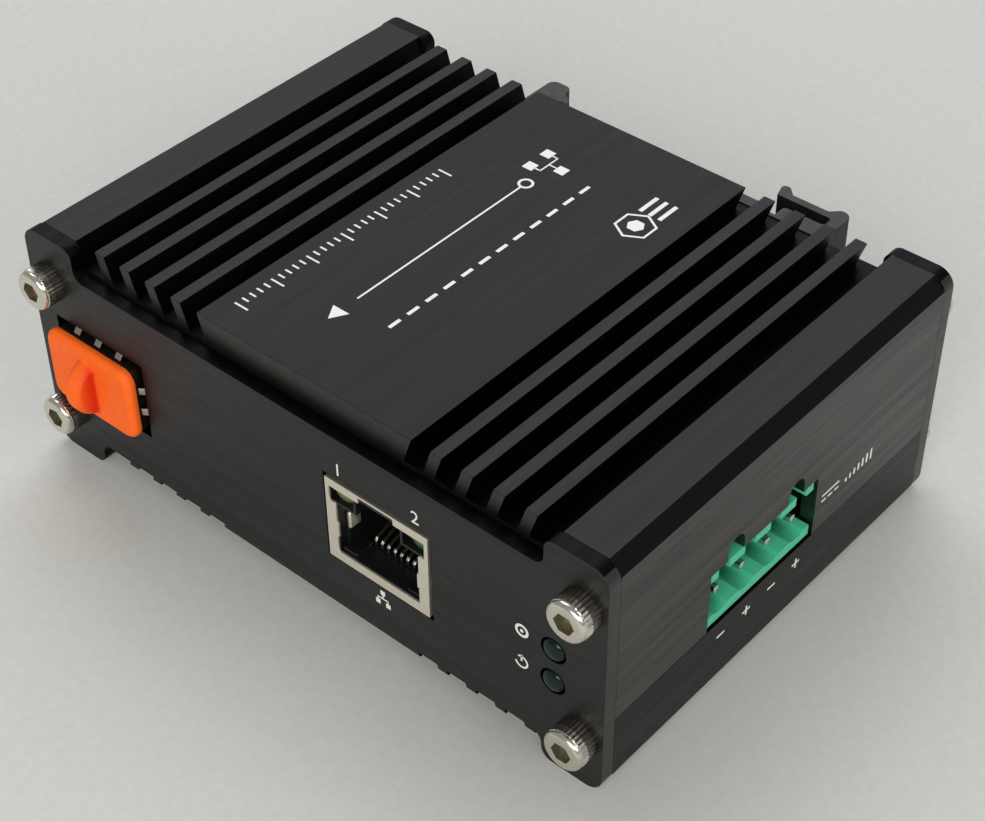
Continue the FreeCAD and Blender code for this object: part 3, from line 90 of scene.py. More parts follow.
def linear(colour: str) -> tuple[float, float, float, float]:
    """Turn a hex colour as the eye sees it into the linear values of a shader.

    Args:
        colour: Six hex digits after a hash sign.

    Returns:
        Red, green, blue and an alpha of one.
    """
    parts = (int(colour[i : i + 2], 16) / 255 for i in (1, 3, 5))
    return (*(c / 12.92 if c <= 0.04045 else ((c + 0.055) / 1.055) ** 2.4 for c in parts), 1.0)


def add_node(tree: Tree, kind: str, settings: dict | None = None,
             links: dict | None = None) -> bpy.types.Node:
    """Add a node with its settings and the links that feed it.

    Args:
        tree: The node tree that takes the node.
        kind: The node's type without its ShaderNode prefix.
        settings: Values by the name or number of an input, or of a property.
        links: Output sockets by the name or number of the input they feed.

    Returns:
        The new node.
    """
    node = tree.nodes.new(f"ShaderNode{kind}")
    for name, value in (settings or {}).items():
        if isinstance(name, int) or name in node.inputs:
            node.inputs[name].default_value = value
        else:
            setattr(node, name, value)
    for name, output in (links or {}).items():
        tree.links.new(output, node.inputs[name])
    return node


def clamp(value: float) -> float:
    """Keep a value between nought and one."""
    return min(max(value, 0.0), 1.0)


@dataclass(frozen=True)
class Finish:
    """A finish with a fine grain in its colour, gloss and relief, in millimetres.

    Attributes:
        name: What the material is called.
        colour: Its colour, as a hex value.
        roughness: The middle of its roughness.
        metallic: One for bare or anodised metal.
        grain: The size of the grain.
        lay: The way in which the surface was brushed, if it was.
        contrast: How far the grain lightens and darkens the colour.
        spread: How far the grain changes the roughness.
        relief: The height of the grain.
        coat: The weight of a clear film on top.
        gloss: How strongly a surface that isn't metal gives back the light.
        deep: The colour of painted shade, where the attribute "depth" is one.
        band: The width of the broad bands that lie over the grain.
    """

    name: str
    colour: str
    roughness: float
    metallic: float = 0.0
    grain: float = 0.4
    lay: Lay = Lay.NONE
    contrast: float = 0.1
    spread: float = 0.08
    relief: float = 0.002
    coat: float = 0.0
    gloss: float = 0.5
    deep: str = ""
    band: float = 1.3

    @cache
    def material(self) -> bpy.types.Material:
        """Build the material, once, and give it out again after that."""
        material = bpy.data.materials.new(self.name)
        material.use_nodes = True
        tree = material.node_tree
        shader = tree.nodes["Principled BSDF"]
        for name, value in (("Metallic", self.metallic), ("Coat Weight", self.coat),
                            ("Specular IOR Level", self.gloss), ("Coat Roughness", FILM)):
            shader.inputs[name].default_value = value
        place = add_node(tree, "TexCoord").outputs["Object"]
        fine, bands = (self.noise(tree, place, size) for size in (self.grain, self.band))
        value = add_node(tree, "Mix", {0: BANDS}, {2: fine, 3: bands}).outputs[0]
        spread = add_node(tree, "MapRange", {"From Min": NOISE_LOW, "From Max": NOISE_HIGH},
                          {"Value": value}).outputs[0]
        base = Vector(linear(self.colour)[:3])
        dark, light = base * (1 - self.contrast), base * (1 + self.contrast)
        colour = add_node(tree, "Mix", {"data_type": "RGBA", 6: (*dark, 1.0), 7: (*light, 1.0)},
                          {0: spread})
        # The deep colour is painted shade, weighted by the depth attribute.
        if self.deep:
            depth = add_node(tree, "Attribute", {"attribute_name": "depth"}).outputs["Fac"]
            colour = add_node(tree, "Mix", {"data_type": "RGBA", 7: linear(self.deep)},
                              {0: depth, 6: colour.outputs[2]})
        rough = add_node(tree, "MapRange", {"To Min": min(self.roughness + self.spread, 1.0),
                                            "To Max": max(self.roughness - self.spread, 0.02)},
                         {"Value": spread})
        bump = add_node(tree, "Bump", {"Distance": self.relief * MM, "Strength": 1.0},
                        {"Height": value})
        for output, name in ((colour.outputs[2], "Base Color"), (rough.outputs[0], "Roughness"),
                             (bump.outputs[0], "Normal")):
            tree.links.new(output, shader.inputs[name])
        return material

    def noise(self, tree: Tree, place: Socket, size: float) -> Socket:
        """Add a noise of one grain size, drawn out along the lay.

        Args:
            tree: The node tree that takes the noise.
            place: The coordinates that it reads.
            size: The width of one grain.

        Returns:
            The noise's value.
        """
        drawn = add_node(tree, "Mapping", {"Scale": self.lay.value}, {"Vector": place})
        settings = {"Scale": 1 / (size * MM), "Detail": 3.0, "Roughness": 0.6}
        noise = add_node(tree, "TexNoise", settings, {"Vector": drawn.outputs[0]})
        return noise.outputs["Fac"]


Rule = Callable[[Vector, Vector], Finish]

# Black anodised aluminium: the dyed oxide gives back only a few hundredths of the light, as
# glass does, and more at a glancing angle; brushing under it shows as fine streaks.
WALL_BRUSHED = Finish("anodised_wall_brushed_lengthwise", "#535352", 0.40, 1.0, 0.20,
                      Lay.ALONG_Y, contrast=0.22, spread=0.05)
# Painted shade: the lower wall has the same finish as the upper wall, darkened to stand in for its
# dimmer reflection.
LOWER_WALL_SHADE = Finish("anodised_lower_wall_painted_shade", "#292929", 0.40, 1.0, 0.20,
                    Lay.ALONG_Y, contrast=0.16, spread=0.05, relief=0.001)
PLATE_BRUSHED = Finish("anodised_plate_brushed_sideways", "#404040", 0.42, 1.0, 0.18,
                       Lay.ALONG_X, contrast=0.14, spread=0.05, relief=0.001)
LAND_SATIN = Finish("anodised_land_satin", "#202021", 0.42, 1.0, 0.25, Lay.ALONG_Y,
                    contrast=0.05, spread=0.02, relief=0.0003)
FIN_TOP = Finish("anodised_fin_top", "#222324", 0.40, 1.0, 0.30, Lay.ALONG_Y,
                 contrast=0.05, spread=0.02, relief=0.0003)
# Painted shade: the fins' sides, the groove floors and the plates' top and bottom edges are
# darkened where the fins and the case shade them; along the split of the two halves it is the dark
# joint.
SHADE_AND_JOINT = Finish("anodised_painted_shade_and_joint", "#141416", 0.50, 1.0, 0.35, Lay.ALONG_Y,
                contrast=0.15, spread=0.05, relief=0.001)
CUT_EDGE = Finish("anodised_cut_edge", "#4e4f4d", 0.38, 1.0, 0.25,
                  contrast=0.08, spread=0.04, relief=0.0005)
# A2 stainless steel: warm grey and bright, turned on the lathe; the lower knurling near the plate
# and the socket are rougher, and darkened as painted shade.
STAINLESS = Finish("stainless_screw", "#dcd8cc", 0.20, 1.0, 0.30,
                   contrast=0.05, spread=0.05, relief=0.0005)
KNURL_SHADE = Finish("stainless_knurl_painted_shade", "#7d776c", 0.38, 1.0, 0.30, spread=0.05, relief=0.0005)
SOCKET_SHADE = Finish("stainless_socket_painted_shade", "#b3ab97", 0.40, 1.0, 0.30, contrast=0.2, relief=0.001)
# Nickel plated sheet: a warm, soft mirror with faint rolling marks.
NICKEL = Finish("nickel_plated_sheet", "#f0e9da", 0.48, 1.0, 0.3, Lay.ALONG_X,
                contrast=0.05, spread=0.05, relief=0.0005)
# Stainless spring sheet of the cage: the cage and the fingers' roots are darkened as painted shade,
# and the fingers' crests keep a lighter tone.
CAGE_SHADE = Finish("spring_sheet_painted_shade", "#4b4843", 0.45, 1.0, 0.3, spread=0.05, relief=0.0005)
FINGER = Finish("spring_finger_crest", "#b9aca0", 0.26, 1.0, 0.3)
# Phosphor bronze wire under a flash of gold; its crests are painted a blueish white as a painted
# reflection of the light, and the rest of the wire is darkened as painted shade.
CONTACT_GLINT = Finish("contact_painted_reflection", "#e9e8ea", 0.16, 1.0, 0.3)
WIRE_SHADE = Finish("contact_wire_painted_shade", "#54503f", 0.40, 1.0, 0.3)
TIN = Finish("tin_plated_pin", "#dedcd2", 0.25, 1.0, contrast=0.04)
# Thermoplastic rubber: matt and a little waxy; the deeper red on the grip's flanks and at its root
# is painted shade.
ORANGE = Finish("orange_thermoplastic_rubber", "#fd691e", 0.55, grain=0.5,
                contrast=0.03, spread=0.04, gloss=0.2, deep="#c81a02")
# Moulded nylon: even, with the soft gloss of a fine spark-eroded mould; the scoops under the pins
# are darkened towards their bottoms as painted shade.
GREEN = Finish("green_nylon", "#4cbf97", 0.42, contrast=0.04, spread=0.05, deep="#05543b")
BLACK_NYLON = Finish("black_nylon", "#0f0f10", 0.55, grain=0.3, spread=0.06, relief=0.003)
BLACK_INSERT = Finish("black_connector_plastic", "#08090a", 0.45, grain=0.3, spread=0.06)
# Inside the case: epoxy, solder resist on laminate, sintered ferrite and heat-shrunk sleeve.
PACKAGE = Finish("moulded_epoxy", "#1d1d1f", 0.6, grain=0.2)
LAMINATE = Finish("green_solder_resist", "#12502c", 0.32, grain=0.6, coat=0.4)
FERRITE = Finish("pressed_ferrite", "#3a3a3d", 0.65, grain=0.3)
SLEEVE = Finish("shrunk_sleeve", "#17171c", 0.3)
# Tinted epoxy lenses, unlit: deep in colour under a clear, wet-looking skin.
AMBER_LENS = Finish("amber_lens", "#75754e", 0.35, grain=0.8, contrast=0.05, coat=0.2)
GREEN_LENS = Finish("green_lens", "#4a5e4b", 0.35, grain=0.8, contrast=0.05, coat=0.2)
STATUS_LENS = Finish("dark_green_lens", "#051d14", 0.10, grain=0.8, spread=0.02,
                     contrast=0.05, gloss=0.25)
# A pale matt floor with a fine tooth, and screen-printed white ink.
PAPER = Finish("pale_paper", "#c6c7c3", 0.85, grain=1.2, contrast=0.03, relief=0.02)
INK = Finish("white_ink", "#e4e4e0", 0.55, grain=0.3, contrast=0.04)


def deselect() -> None:
    """Leave nothing selected, so that an operator meets only its own piece."""
    if bpy.context.object and bpy.context.object.mode != "OBJECT":
        bpy.ops.object.mode_set(mode="OBJECT")
    bpy.ops.object.select_all(action="DESELECT")


def take_up(piece: Piece) -> None:
    """Select one piece and make it active."""
    deselect()
    piece.select_set(True)
    bpy.context.view_layer.objects.active = piece


def primitive(kind: str, **settings: object) -> Piece:
    """Add a primitive and put its place, turn and size into its mesh.

    Args:
        kind: Which primitive it is.
        **settings: What the primitive's operator takes.

    Returns:
        The primitive.
    """
    deselect()
    getattr(bpy.ops.mesh, f"primitive_{kind}_add")(**settings)
    bpy.ops.object.transform_apply(location=True, rotation=True, scale=True)
    return bpy.context.object


@contextmanager
def editing(piece: Piece, choice: str | None = "SELECT") -> Iterator[None]:
    """Open a piece's mesh for editing, and close it again.

    Args:
        piece: The piece to edit.
        choice: What is first done to the whole mesh's selection, if anything.
    """
    take_up(piece)
    bpy.ops.object.mode_set(mode="EDIT")
    if choice:
        bpy.ops.mesh.select_all(action=choice)
    yield
    bpy.ops.object.mode_set(mode="OBJECT")


def turn_outwards() -> None:
    """Turn every face of the mesh that is being edited outwards."""
    bpy.ops.mesh.select_all(action="SELECT")
    bpy.ops.mesh.normals_make_consistent(inside=False)


def modify(piece: Piece, kind: str, **settings: object) -> None:
    """Add a modifier with its settings to a piece and apply it.

    Args:
        piece: The piece to change.
        kind: The modifier's type.
        **settings: The modifier's properties.
    """
    take_up(piece)
    modifier = piece.modifiers.new(kind.lower(), kind)
    for name, value in settings.items():
        setattr(modifier, name, value)
    bpy.ops.object.modifier_apply(modifier=modifier.name)


def copy_of_node(node: str) -> Piece:
    """Copy a node's mesh into a new piece, with its loose triangles merged.

    Args:
        node: The node.

    Returns:
        The new piece.
    """
    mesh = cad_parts[node].data.copy()
    mesh.materials.clear()
    piece = bpy.data.objects.new(f"{node}_finished", mesh)
    bpy.context.scene.collection.objects.link(piece)
    take_up(piece)
    bpy.ops.mesh.customdata_custom_splitnormals_clear()
    with editing(piece):
        bpy.ops.mesh.remove_doubles(threshold=0.001 * MM)
        bpy.ops.mesh.dissolve_limited(angle_limit=math.radians(0.5))
    return piece


def smooth_curves(piece: Piece, sharpest: float) -> None:
    """Smooth the curved faces of a piece and keep its large flats flat.

    Args:
        piece: The piece to finish.
        sharpest: The angle in degrees from which an edge counts as sharp.
    """
    take_up(piece)
    bpy.ops.object.shade_smooth_by_angle(angle=math.radians(sharpest))
    modify(piece, "WEIGHTED_NORMAL", keep_sharp=True, weight=100)


def soften(piece: Piece, width: float, segments: int = 2) -> None:
    """Round the sharp edges of a piece and smooth its curved faces.

    Args:
        piece: The piece to finish.
        width: The width of the rounding.
        segments: The steps in the rounding.
    """
    sharpest = 28.0
    modify(piece, "BEVEL", width=width, segments=segments, limit_method="ANGLE",
           angle_limit=math.radians(sharpest), use_clamp_overlap=True)
    smooth_curves(piece, sharpest)


def joined(pieces: Sequence[Piece], name: str) -> Piece:
    """Join pieces into one.

    Args:
        pieces: The pieces.
        name: The name of the joined piece.

    Returns:
        The joined piece.
    """
    deselect()
    for piece in pieces:
        piece.select_set(True)
    bpy.context.view_layer.objects.active = pieces[0]
    bpy.ops.object.join()
    pieces[0].name = name
    return pieces[0]


def clear_selection(piece: Piece, kind: str) -> None:
    """Leave nothing selected in a mesh, and select points or faces from here on."""
    with editing(piece, "DESELECT"):
        bpy.ops.mesh.select_mode(type=kind)


def cut_away(piece: Piece, cutter: Piece) -> None:
    """Cut one piece out of another and throw the cutter away."""
    modify(piece, "BOOLEAN", operation="DIFFERENCE", object=cutter)
    bpy.data.objects.remove(cutter)


def mend(piece: Piece, step: float) -> None:
    """Merge the slivers that a cut leaves and close what stays open."""
    with editing(piece):
        bpy.ops.mesh.remove_doubles(threshold=step)
        bpy.ops.mesh.fill_holes(sides=0)
        bpy.ops.mesh.normals_make_consistent(inside=False)


def push_out(way: float, share: float, middle: Sequence[float]) -> None:
    """Extrude the selected outline towards -Y and make it wider or narrower.

    Args:
        way: How far it is pushed.
        share: Its new width, as a share of the old one.
        middle: The point that it keeps round.
    """
    bpy.ops.mesh.extrude_region_move(TRANSFORM_OT_translate={"value": (0, -way, 0)})
    bpy.ops.transform.resize(value=(share, 1, share), center_override=middle)


def paint_shade(piece: Piece, rule: Callable[[Vector, Vector], float]) -> None:
    """Write the attribute "depth", the weight of the painted shade in a finish's deep colour.

    Args:
        piece: The piece to write it on.
        rule: Gives the depth from nought to one from a point's place and normal.
    """
    depth = piece.data.attributes.new("depth", "FLOAT", "POINT")
    for vertex, value in zip(piece.data.vertices, depth.data):
        value.value = clamp(rule(vertex.co, vertex.normal))


def dress(piece: Piece, finishes: Sequence[Finish], rule: Rule | None = None) -> None:
    """Give a piece its finishes, face by face where a rule is given.

    Args:
        piece: The piece to dress.
        finishes: The finishes, in the order of the piece's materials.
        rule: Gives a face's finish from its normal and its centre.
    """
    piece.data.materials.clear()
    for finish in finishes:
        piece.data.materials.append(finish.material())
    if rule:
        order = {finish.name: number for number, finish in enumerate(finishes)}
        for face in piece.data.polygons:
            face.material_index = order[rule(face.normal, face.center).name]


def settle(piece: Piece, slot: str | None, *nodes: str, body: str = HOUSING) -> None:
    """Let a finished piece ride on its body and stand for its nodes.

    Args:
        piece: The finished piece.
        slot: The record's slot that its finish comes from; not used.
        *nodes: The nodes that it stands for.
        body: The body that it moves with.
    """
    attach(piece, body)
    if nodes:
        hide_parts(*nodes)
    LOG.info("%s: %d faces on %s", piece.name, len(piece.data.polygons), body)


def repaint(node: str, finish: Finish) -> None:
    """Give a node that keeps its own mesh a better finish."""
    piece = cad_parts[node]
    dress(piece, (finish,))
    LOG.info("%s keeps its mesh, in %s", node, finish.name)


def finished_node(node: str, width: float, finishes: Sequence[Finish], slot: str,
                  rule: Rule | None = None) -> None:
    """Round, dress and settle a copy that stands for its node on the housing.

    Args:
        node: The node to copy.
        width: The width of the edge rounding.
        finishes: The finishes of the copy.
        slot: The record's slot of its finish.
        rule: Gives each face its finish.
    """
    piece = copy_of_node(node)
    soften(piece, width)
    dress(piece, finishes, rule)
    settle(piece, slot, node)


@dataclass(frozen=True)
class Lens:
    """A round lens in front of a light's barrel.

    Attributes:
        height: How far it bulges.
        growth: How much wider than the barrel it is.
        proud: How far in front of the barrel's end its rim stands.
    """

    height: float
    growth: float
    proud: float

    def grow(self, node: str, finish: Finish, slot: str) -> None:
        """Turn the front of a light into a lens.

        Args:
            node: The light's node.
            finish: The finish of the lens.
            slot: The record's slot of the light.
        """
        steps, hair = 8, 0.01 * MM
        piece = copy_of_node(node)
        rim = box_of(node)[0].y + self.height
        with editing(piece):
            bpy.ops.mesh.bisect(plane_co=(0, rim, 0), plane_no=(0, -1, 0), clear_outer=True,
                                use_fill=True, threshold=0.1 * hair)
        clear_selection(piece, "FACE")
        ring = []
        for face in piece.data.polygons:
            face.select = abs(face.normal.y) > FACING and abs(face.center.y - rim) < hair
            if face.select:
                ring += [piece.data.vertices[number].co for number in face.vertices]
        middle = sum(ring, Vector()) / len(ring)
        with editing(piece, None):
            push_out(0, self.growth, middle)
            push_out(self.proud + hair, 1, middle)
            share_before, rise_before = 1.0, 0.0
            for step in range(1, steps + 1):
                turn = math.pi / 2 * step / (steps + 0.5)
                share, rise = math.cos(turn), self.height * math.sin(turn)
                push_out(rise - rise_before, share / share_before, middle)
                share_before, rise_before = share, rise
            turn_outwards()
        bpy.ops.object.shade_smooth_by_angle(angle=math.radians(35))
        dress(piece, (finish,))
        settle(piece, slot, node)


def block(low: Vector, high: Vector, rounding: float) -> Piece:
    """Model a small block between two corners, with rounded edges.

    Args:
        low: Its lowest corner.
        high: Its highest corner.
        rounding: The width of its edge rounding.

    Returns:
        The block.
    """
    piece = primitive("cube", size=1, location=(low + high) / 2, scale=high - low)
    soften(piece, rounding, 3)
    return piece


@dataclass
class FinnedCase:
    """The two extruded halves of the case.

    Attributes:
        rounding: The width of the extrusion's edge rounding.
        top_step: How far the fins and the ridges may stand below the land.
        land_half: Half the width of the land in the middle.
    """

    rounding: float = 0.15 * MM
    top_step: float = 1.6 * MM
    land_half: float = 17.2 * MM

    def surface(self, normal: Vector, centre: Vector) -> Finish:
        """Tell a wall, the land, a fin's top, a cut end, the dark joint at the split, and the faces
        in the fins' shade, which take painted shade.
        """
        wall_reach, seam, cut_end, flat = 0.6 * MM, 0.3 * MM, 0.95, 0.35
        low, side = box_of("lower_case")[0].z, box_of("lower_case")[1].x
        split, high = (corner.z for corner in box_of("upper_case"))
        if abs(centre.x) > side - wall_reach and abs(normal.x) > LEANING:
            if abs(normal.z) > LEANING and abs(centre.z - split) < seam:
                return SHADE_AND_JOINT
            if abs(normal.x) > FACING:
                # Below the split the wall takes the painted-shade copy of the wall finish.
                return WALL_BRUSHED if centre.z > split else LOWER_WALL_SHADE
        if abs(normal.y) > cut_end:
            return CUT_EDGE
        outer = centre.z > high - self.top_step or centre.z < low + self.top_step
        if outer and abs(normal.z) > flat:
            return LAND_SATIN if abs(centre.x) < self.land_half else FIN_TOP
        return SHADE_AND_JOINT

    def build(self) -> None:
        """Finish both halves."""
        finishes = (WALL_BRUSHED, LOWER_WALL_SHADE, LAND_SATIN, FIN_TOP, SHADE_AND_JOINT, CUT_EDGE)
        for node in ("upper_case", "lower_case"):
            finished_node(node, self.rounding, finishes, "case_black", self.surface)


@dataclass
class EndPlates:
    """The plates that close the two ends of the case.

    Attributes:
        rounding: The width of the cut edges' rounding.
    """

    rounding: float = 0.18 * MM

    def surface(self, normal: Vector, centre: Vector) -> Finish:
        """Tell the brushed faces and the bright side edges from the other edges, which take painted
        shade.
        """
        square, sideways, corner = 0.8, 0.6, 2.0 * MM
        if abs(normal.y) > square:
            return PLATE_BRUSHED
        outside = abs(centre.x) > box_of("front_plate")[1].x - corner
        return CUT_EDGE if outside and abs(normal.x) > sideways else SHADE_AND_JOINT

    def lift_foot(self, plate: Piece) -> None:
        """Lift the edge between the plate's feet, so that the fins show under it."""
        edge, lift, foot = 3.1 * MM, 0.65 * MM, 4.0 * MM
        clear_selection(plate, "VERT")
        half, top = box_of("front_plate")[1].x - foot, edge + 0.1 * MM
        for vertex in plate.data.vertices:
            vertex.select = abs(vertex.co.x) < half and vertex.co.z < top
        with editing(plate, None):
            bpy.ops.transform.resize(value=(1, 1, 1 + lift / edge), center_override=(0, 0, 0))

    def build(self) -> None:
        """Finish both plates."""
        for node in ("front_plate", "rear_plate"):
            plate = copy_of_node(node)
            self.lift_foot(plate)
            soften(plate, self.rounding)
            dress(plate, (PLATE_BRUSHED, CUT_EDGE, SHADE_AND_JOINT), self.surface)
            settle(plate, "plate_black", node)


@dataclass
class CapScrews:
    """The knurled socket cap screws of both plates.

    Attributes:
        head_radius: The radius of the head, over the knurling.
        head_height: The height of the head.
        hexagon: The width of the socket across its flats.
        socket_depth: The depth of the socket.
        lead_in: The width of the chamfer round the socket.
        ridges: How many ridges the knurling has.
        ridge_depth: How deep the knurling is.
        knurl_height: The height of the knurled band over the plate.
        shaded: How much of that band, from the plate up, is dull.
        crown: The radius of the rounding between the side and the top.
    """

    head_radius: float = 2.75 * MM
    head_height: float = 3.0 * MM
    hexagon: float = 2.5 * MM
    socket_depth: float = 1.5 * MM
    lead_in: float = 0.16 * MM
    ridges: int = 32
    ridge_depth: float = 0.10 * MM
    knurl_height: float = 2.2 * MM
    # shaded: How much of that band, from the plate up, is darkened as painted shade.
    shaded: float = 0.6
    crown: float = 0.6 * MM

    def profile(self) -> list[tuple[float, float]]:
        """List the radius and the height of each step of the head's outline."""
        crown_steps = 7
        neck = self.head_radius - 0.5 * self.ridge_depth
        steps = [
            (self.head_radius, self.shaded * self.knurl_height),
            (self.head_radius, self.knurl_height),
            (neck - self.ridge_depth, self.knurl_height + 0.08 * MM),
            (neck, self.knurl_height + 0.22 * MM),
        ]
        for step in range(crown_steps + 1):
            turn = math.pi / 2 * step / crown_steps
            steps.append((neck - self.crown * (1 - math.cos(turn)),
                          self.head_height - self.crown * (1 - math.sin(turn))))
        return steps

    def head(self) -> Piece:
        """Model one head, on the Y axis, that stands on y = 0 and points to -Y."""
        head = primitive("circle", vertices=self.ridges * 4, radius=self.head_radius,
                         fill_type="NGON", rotation=(math.pi / 2, 0, 0))
        radius, height = self.head_radius, 0.0
        with editing(head):
            for new_radius, new_height in self.profile():
                push_out(new_height - height, new_radius / radius, (0, 0, 0))
                radius, height = new_radius, new_height
            turn_outwards()
        self.knurl(head)
        self.press_socket(head)
        return head

    def knurl(self, head: Piece) -> None:
        """Press the valleys of the knurling into the lower part of the side."""
        for vertex in head.data.vertices:
            place = vertex.co
            if -place.y > self.knurl_height + 0.01 * MM:
                continue
            turn = math.atan2(place.z, place.x) * self.ridges
            across = math.hypot(place.x, place.z)
            share = 1 - self.ridge_depth / across * (0.5 - 0.5 * math.cos(turn))
            vertex.co = Vector((place.x * share, place.y, place.z * share))

    def press_socket(self, head: Piece) -> None:
        """Press the hexagonal socket, its chamfer and its conical bottom into the head."""
        corner, lead_in, drilled = self.hexagon / math.sqrt(3), self.lead_in, 0.45 * MM
        top = -self.head_height
        bottom = top + self.socket_depth + drilled / 2 - 0.02 * MM
        for vertices, inner, outer, depth, place in (
            (6, corner, corner, 2 * self.socket_depth, top),
            (6, corner - lead_in, corner + lead_in, 2 * lead_in, top),
            (24, 0.0, 0.8 * corner, drilled, bottom),
        ):
            cut_away(head, primitive("cone", vertices=vertices, radius1=inner, radius2=outer,
                                     depth=depth, location=(0, place, 0),
                                     rotation=(math.pi / 2, 0, 0)))

    def surface(self, normal: Vector, centre: Vector) -> Finish:
        """Tell the socket and the lower knurling, which are darkened as painted shade, from the
        bright head.
        """
        if math.hypot(centre.x, centre.z) < self.hexagon / 2 + 0.02 * MM:
            return SOCKET_SHADE if -centre.y < self.head_height - self.lead_in else STAINLESS
        return KNURL_SHADE if -centre.y < (self.shaded + 0.1) * self.knurl_height else STAINLESS

    def build(self) -> None:
        """Place four heads on each plate."""
        first_turn, next_turn = 0.35, 1.1
        model = self.head()
        dress(model, (STAINLESS, SOCKET_SHADE, KNURL_SHADE), self.surface)
        for node, face, about in (("front_screws", box_of("front_plate")[0].y, 0.0),
                                  ("rear_screws", box_of("rear_plate")[1].y, math.pi)):
            low, high = box_of(node)
            rows, levels = ((low[axis] + self.head_radius, high[axis] - self.head_radius)
                            for axis in (0, 2))
            heads = []
            for number, (x, z) in enumerate((x, z) for x in rows for z in levels):
                head = model.copy()
                head.data = model.data.copy()
                bpy.context.scene.collection.objects.link(head)
                spin = Matrix.Rotation(first_turn + next_turn * number, 4, "Y")
                turn = Matrix.Rotation(about, 4, "Z")
                head.data.transform(Matrix.Translation((x, face, z)) @ turn @ spin)
                heads.append(head)
            group = joined(heads, f"{node}_knurled")
            smooth_curves(group, 32)
            settle(group, "screw_steel", node)
        bpy.data.objects.remove(model)


@dataclass
class SoftPlug:
    """The rubber dust plug of the fibre bay.

    Attributes:
        voxel: The step of the remesh that melts its parts together.
        rounds: How often the remesh is smoothed.
    """

    voxel: float = 0.16 * MM
    rounds: int = 12

    def depth(self, place: Vector, normal: Vector) -> float:
        """Paint shade as a deeper red on the grip's flanks, most on the +x flank and towards the
        root.
        """
        inner, outer, tip, reach, stand = 0.9, 0.3, 0.1, 3.2 * MM, 2.6 * MM
        low, high = box_of("dust_plug")
        rise = (place.y - low.y) / stand
        flank = inner * max(normal.x, 0.0) + outer * max(-normal.x, 0.0)
        aside = abs(place.x - (low.x + high.x) / 2) / reach
        return flank * min(tip + (1 - tip) * rise, 1.0) * clamp(2.0 - aside)

    def build(self) -> None:
        """Melt the plug's flange, grip and stem into one soft moulding."""
        piece = copy_of_node("dust_plug")
        modify(piece, "REMESH", mode="VOXEL", voxel_size=self.voxel)
        modify(piece, "SMOOTH", factor=0.5, iterations=self.rounds)
        bpy.ops.object.shade_smooth()
        # The depth attribute carries the grip's painted shade.
        paint_shade(piece, self.depth)
        dress(piece, (ORANGE,))
        settle(piece, "orange_rubber", "dust_plug", body=PLUG)


@dataclass(frozen=True)
class WallBlocks:
    """Two equal blocks on the side walls of the jack's cavity, in millimetres.

    Attributes:
        root: How far a block reaches into the wall.
        bulge: How far it stands out of the wall.
        back: How far it lies behind the jack's face.
        rise: How high it stands over the jack's foot.
        size: Its depth and its height.
        rounding: The width of its edge rounding.
    """

    root: float
    bulge: float
    back: float
    rise: float
    size: tuple[float, float]
    rounding: float

    def model(self) -> list[Piece]:
        """Model both blocks and give them out."""
        cavity_half = 5.95
        low, high = (corner / MM for corner in box_of("rj45_shield"))
        blocks = []
        for side in (-1, 1):
            wall = (low.x + high.x) / 2 + side * cavity_half
            left, right = sorted((wall + side * self.root, wall - side * self.bulge))
            foot = Vector((left, low.y + self.back, low.z + self.rise))
            head = Vector((right, foot.y + self.size[0], foot.z + self.size[1]))
            blocks.append(block(foot * MM, head * MM, self.rounding * MM))
        return blocks


@dataclass
class NetworkJack:
    """The shielded network jack, its contacts and its two lights.

    Attributes:
        wire_rounding: The rounding on the contact wires.
        springs: The springs that touch a plug's shield.
        ledges: The guide ledges on the cavity's floor.
        crest: The length of a contact's crest, which carries the painted reflection.
        lens: The lens of both lights.
    """

    wire_rounding: float = 0.05 * MM
    springs: WallBlocks = WallBlocks(root=0.35, bulge=0.35, back=1.4, rise=4.5, size=(1.9, 2.6),
                                     rounding=0.3)
    ledges: WallBlocks = WallBlocks(root=0.4, bulge=1.9, back=0.6, rise=1.3, size=(3.0, 0.55),
                                    rounding=0.12)
    crest: float = 0.7 * MM
    lens: Lens = Lens(height=0.6 * MM, growth=1.3, proud=0.55 * MM)

    def contact(self, normal: Vector, centre: Vector) -> Finish:
        """Tell a contact's crest, in a painted reflection, from the rest of its wire, in painted
        shade.
        """
        return CONTACT_GLINT if centre.y < box_of("rj45_contacts")[0].y + self.crest else WIRE_SHADE

    def build(self) -> None:
        """Finish the jack's pieces."""
        for node, rounding, added, finish, slot in (
            ("rj45_shield", SHEET_ROUNDING, self.springs, NICKEL, "nickel_sheet"),
            ("rj45_insert", 0.1 * MM, self.ledges, BLACK_INSERT, "connector_black"),
        ):
            piece = copy_of_node(node)
            soften(piece, rounding)
            piece = joined([piece, *added.model()], f"{node}_finished")
            dress(piece, (finish,))
            settle(piece, slot, node)
        finished_node("rj45_contacts", self.wire_rounding, (CONTACT_GLINT, WIRE_SHADE), "gold_contact",
                      self.contact)
        self.lens.grow("rj45_left_light", AMBER_LENS, "amber_light")
        self.lens.grow("rj45_right_light", GREEN_LENS, "green_light")


@dataclass
class FibreBay:
    """The cage of the fibre module, with its spring fingers.

    Attributes:
        finger_rounding: The rounding on the spring fingers.
        crest: The depth of a finger's lighter crest; the rest of the finger takes painted shade.
    """

    finger_rounding: float = 0.14 * MM
    crest: float = 0.6 * MM

    def finger(self, normal: Vector, centre: Vector) -> Finish:
        """Tell a finger's lighter crest from its root, which takes painted shade."""
        low, high = box_of("sfp_emi_springs")
        inward = min(centre.x - low.x, high.x - centre.x, centre.z - low.z, high.z - centre.z)
        return FINGER if inward < self.crest else CAGE_SHADE

    def build(self) -> None:
        """Finish the bay's pieces."""
        finished_node("sfp_cage", SHEET_ROUNDING, (CAGE_SHADE,), "nickel_sheet")
        finished_node("sfp_emi_springs", self.finger_rounding, (FINGER, CAGE_SHADE),
                      "nickel_sheet", self.finger)
        repaint("sfp_host_connector", BLACK_INSERT)


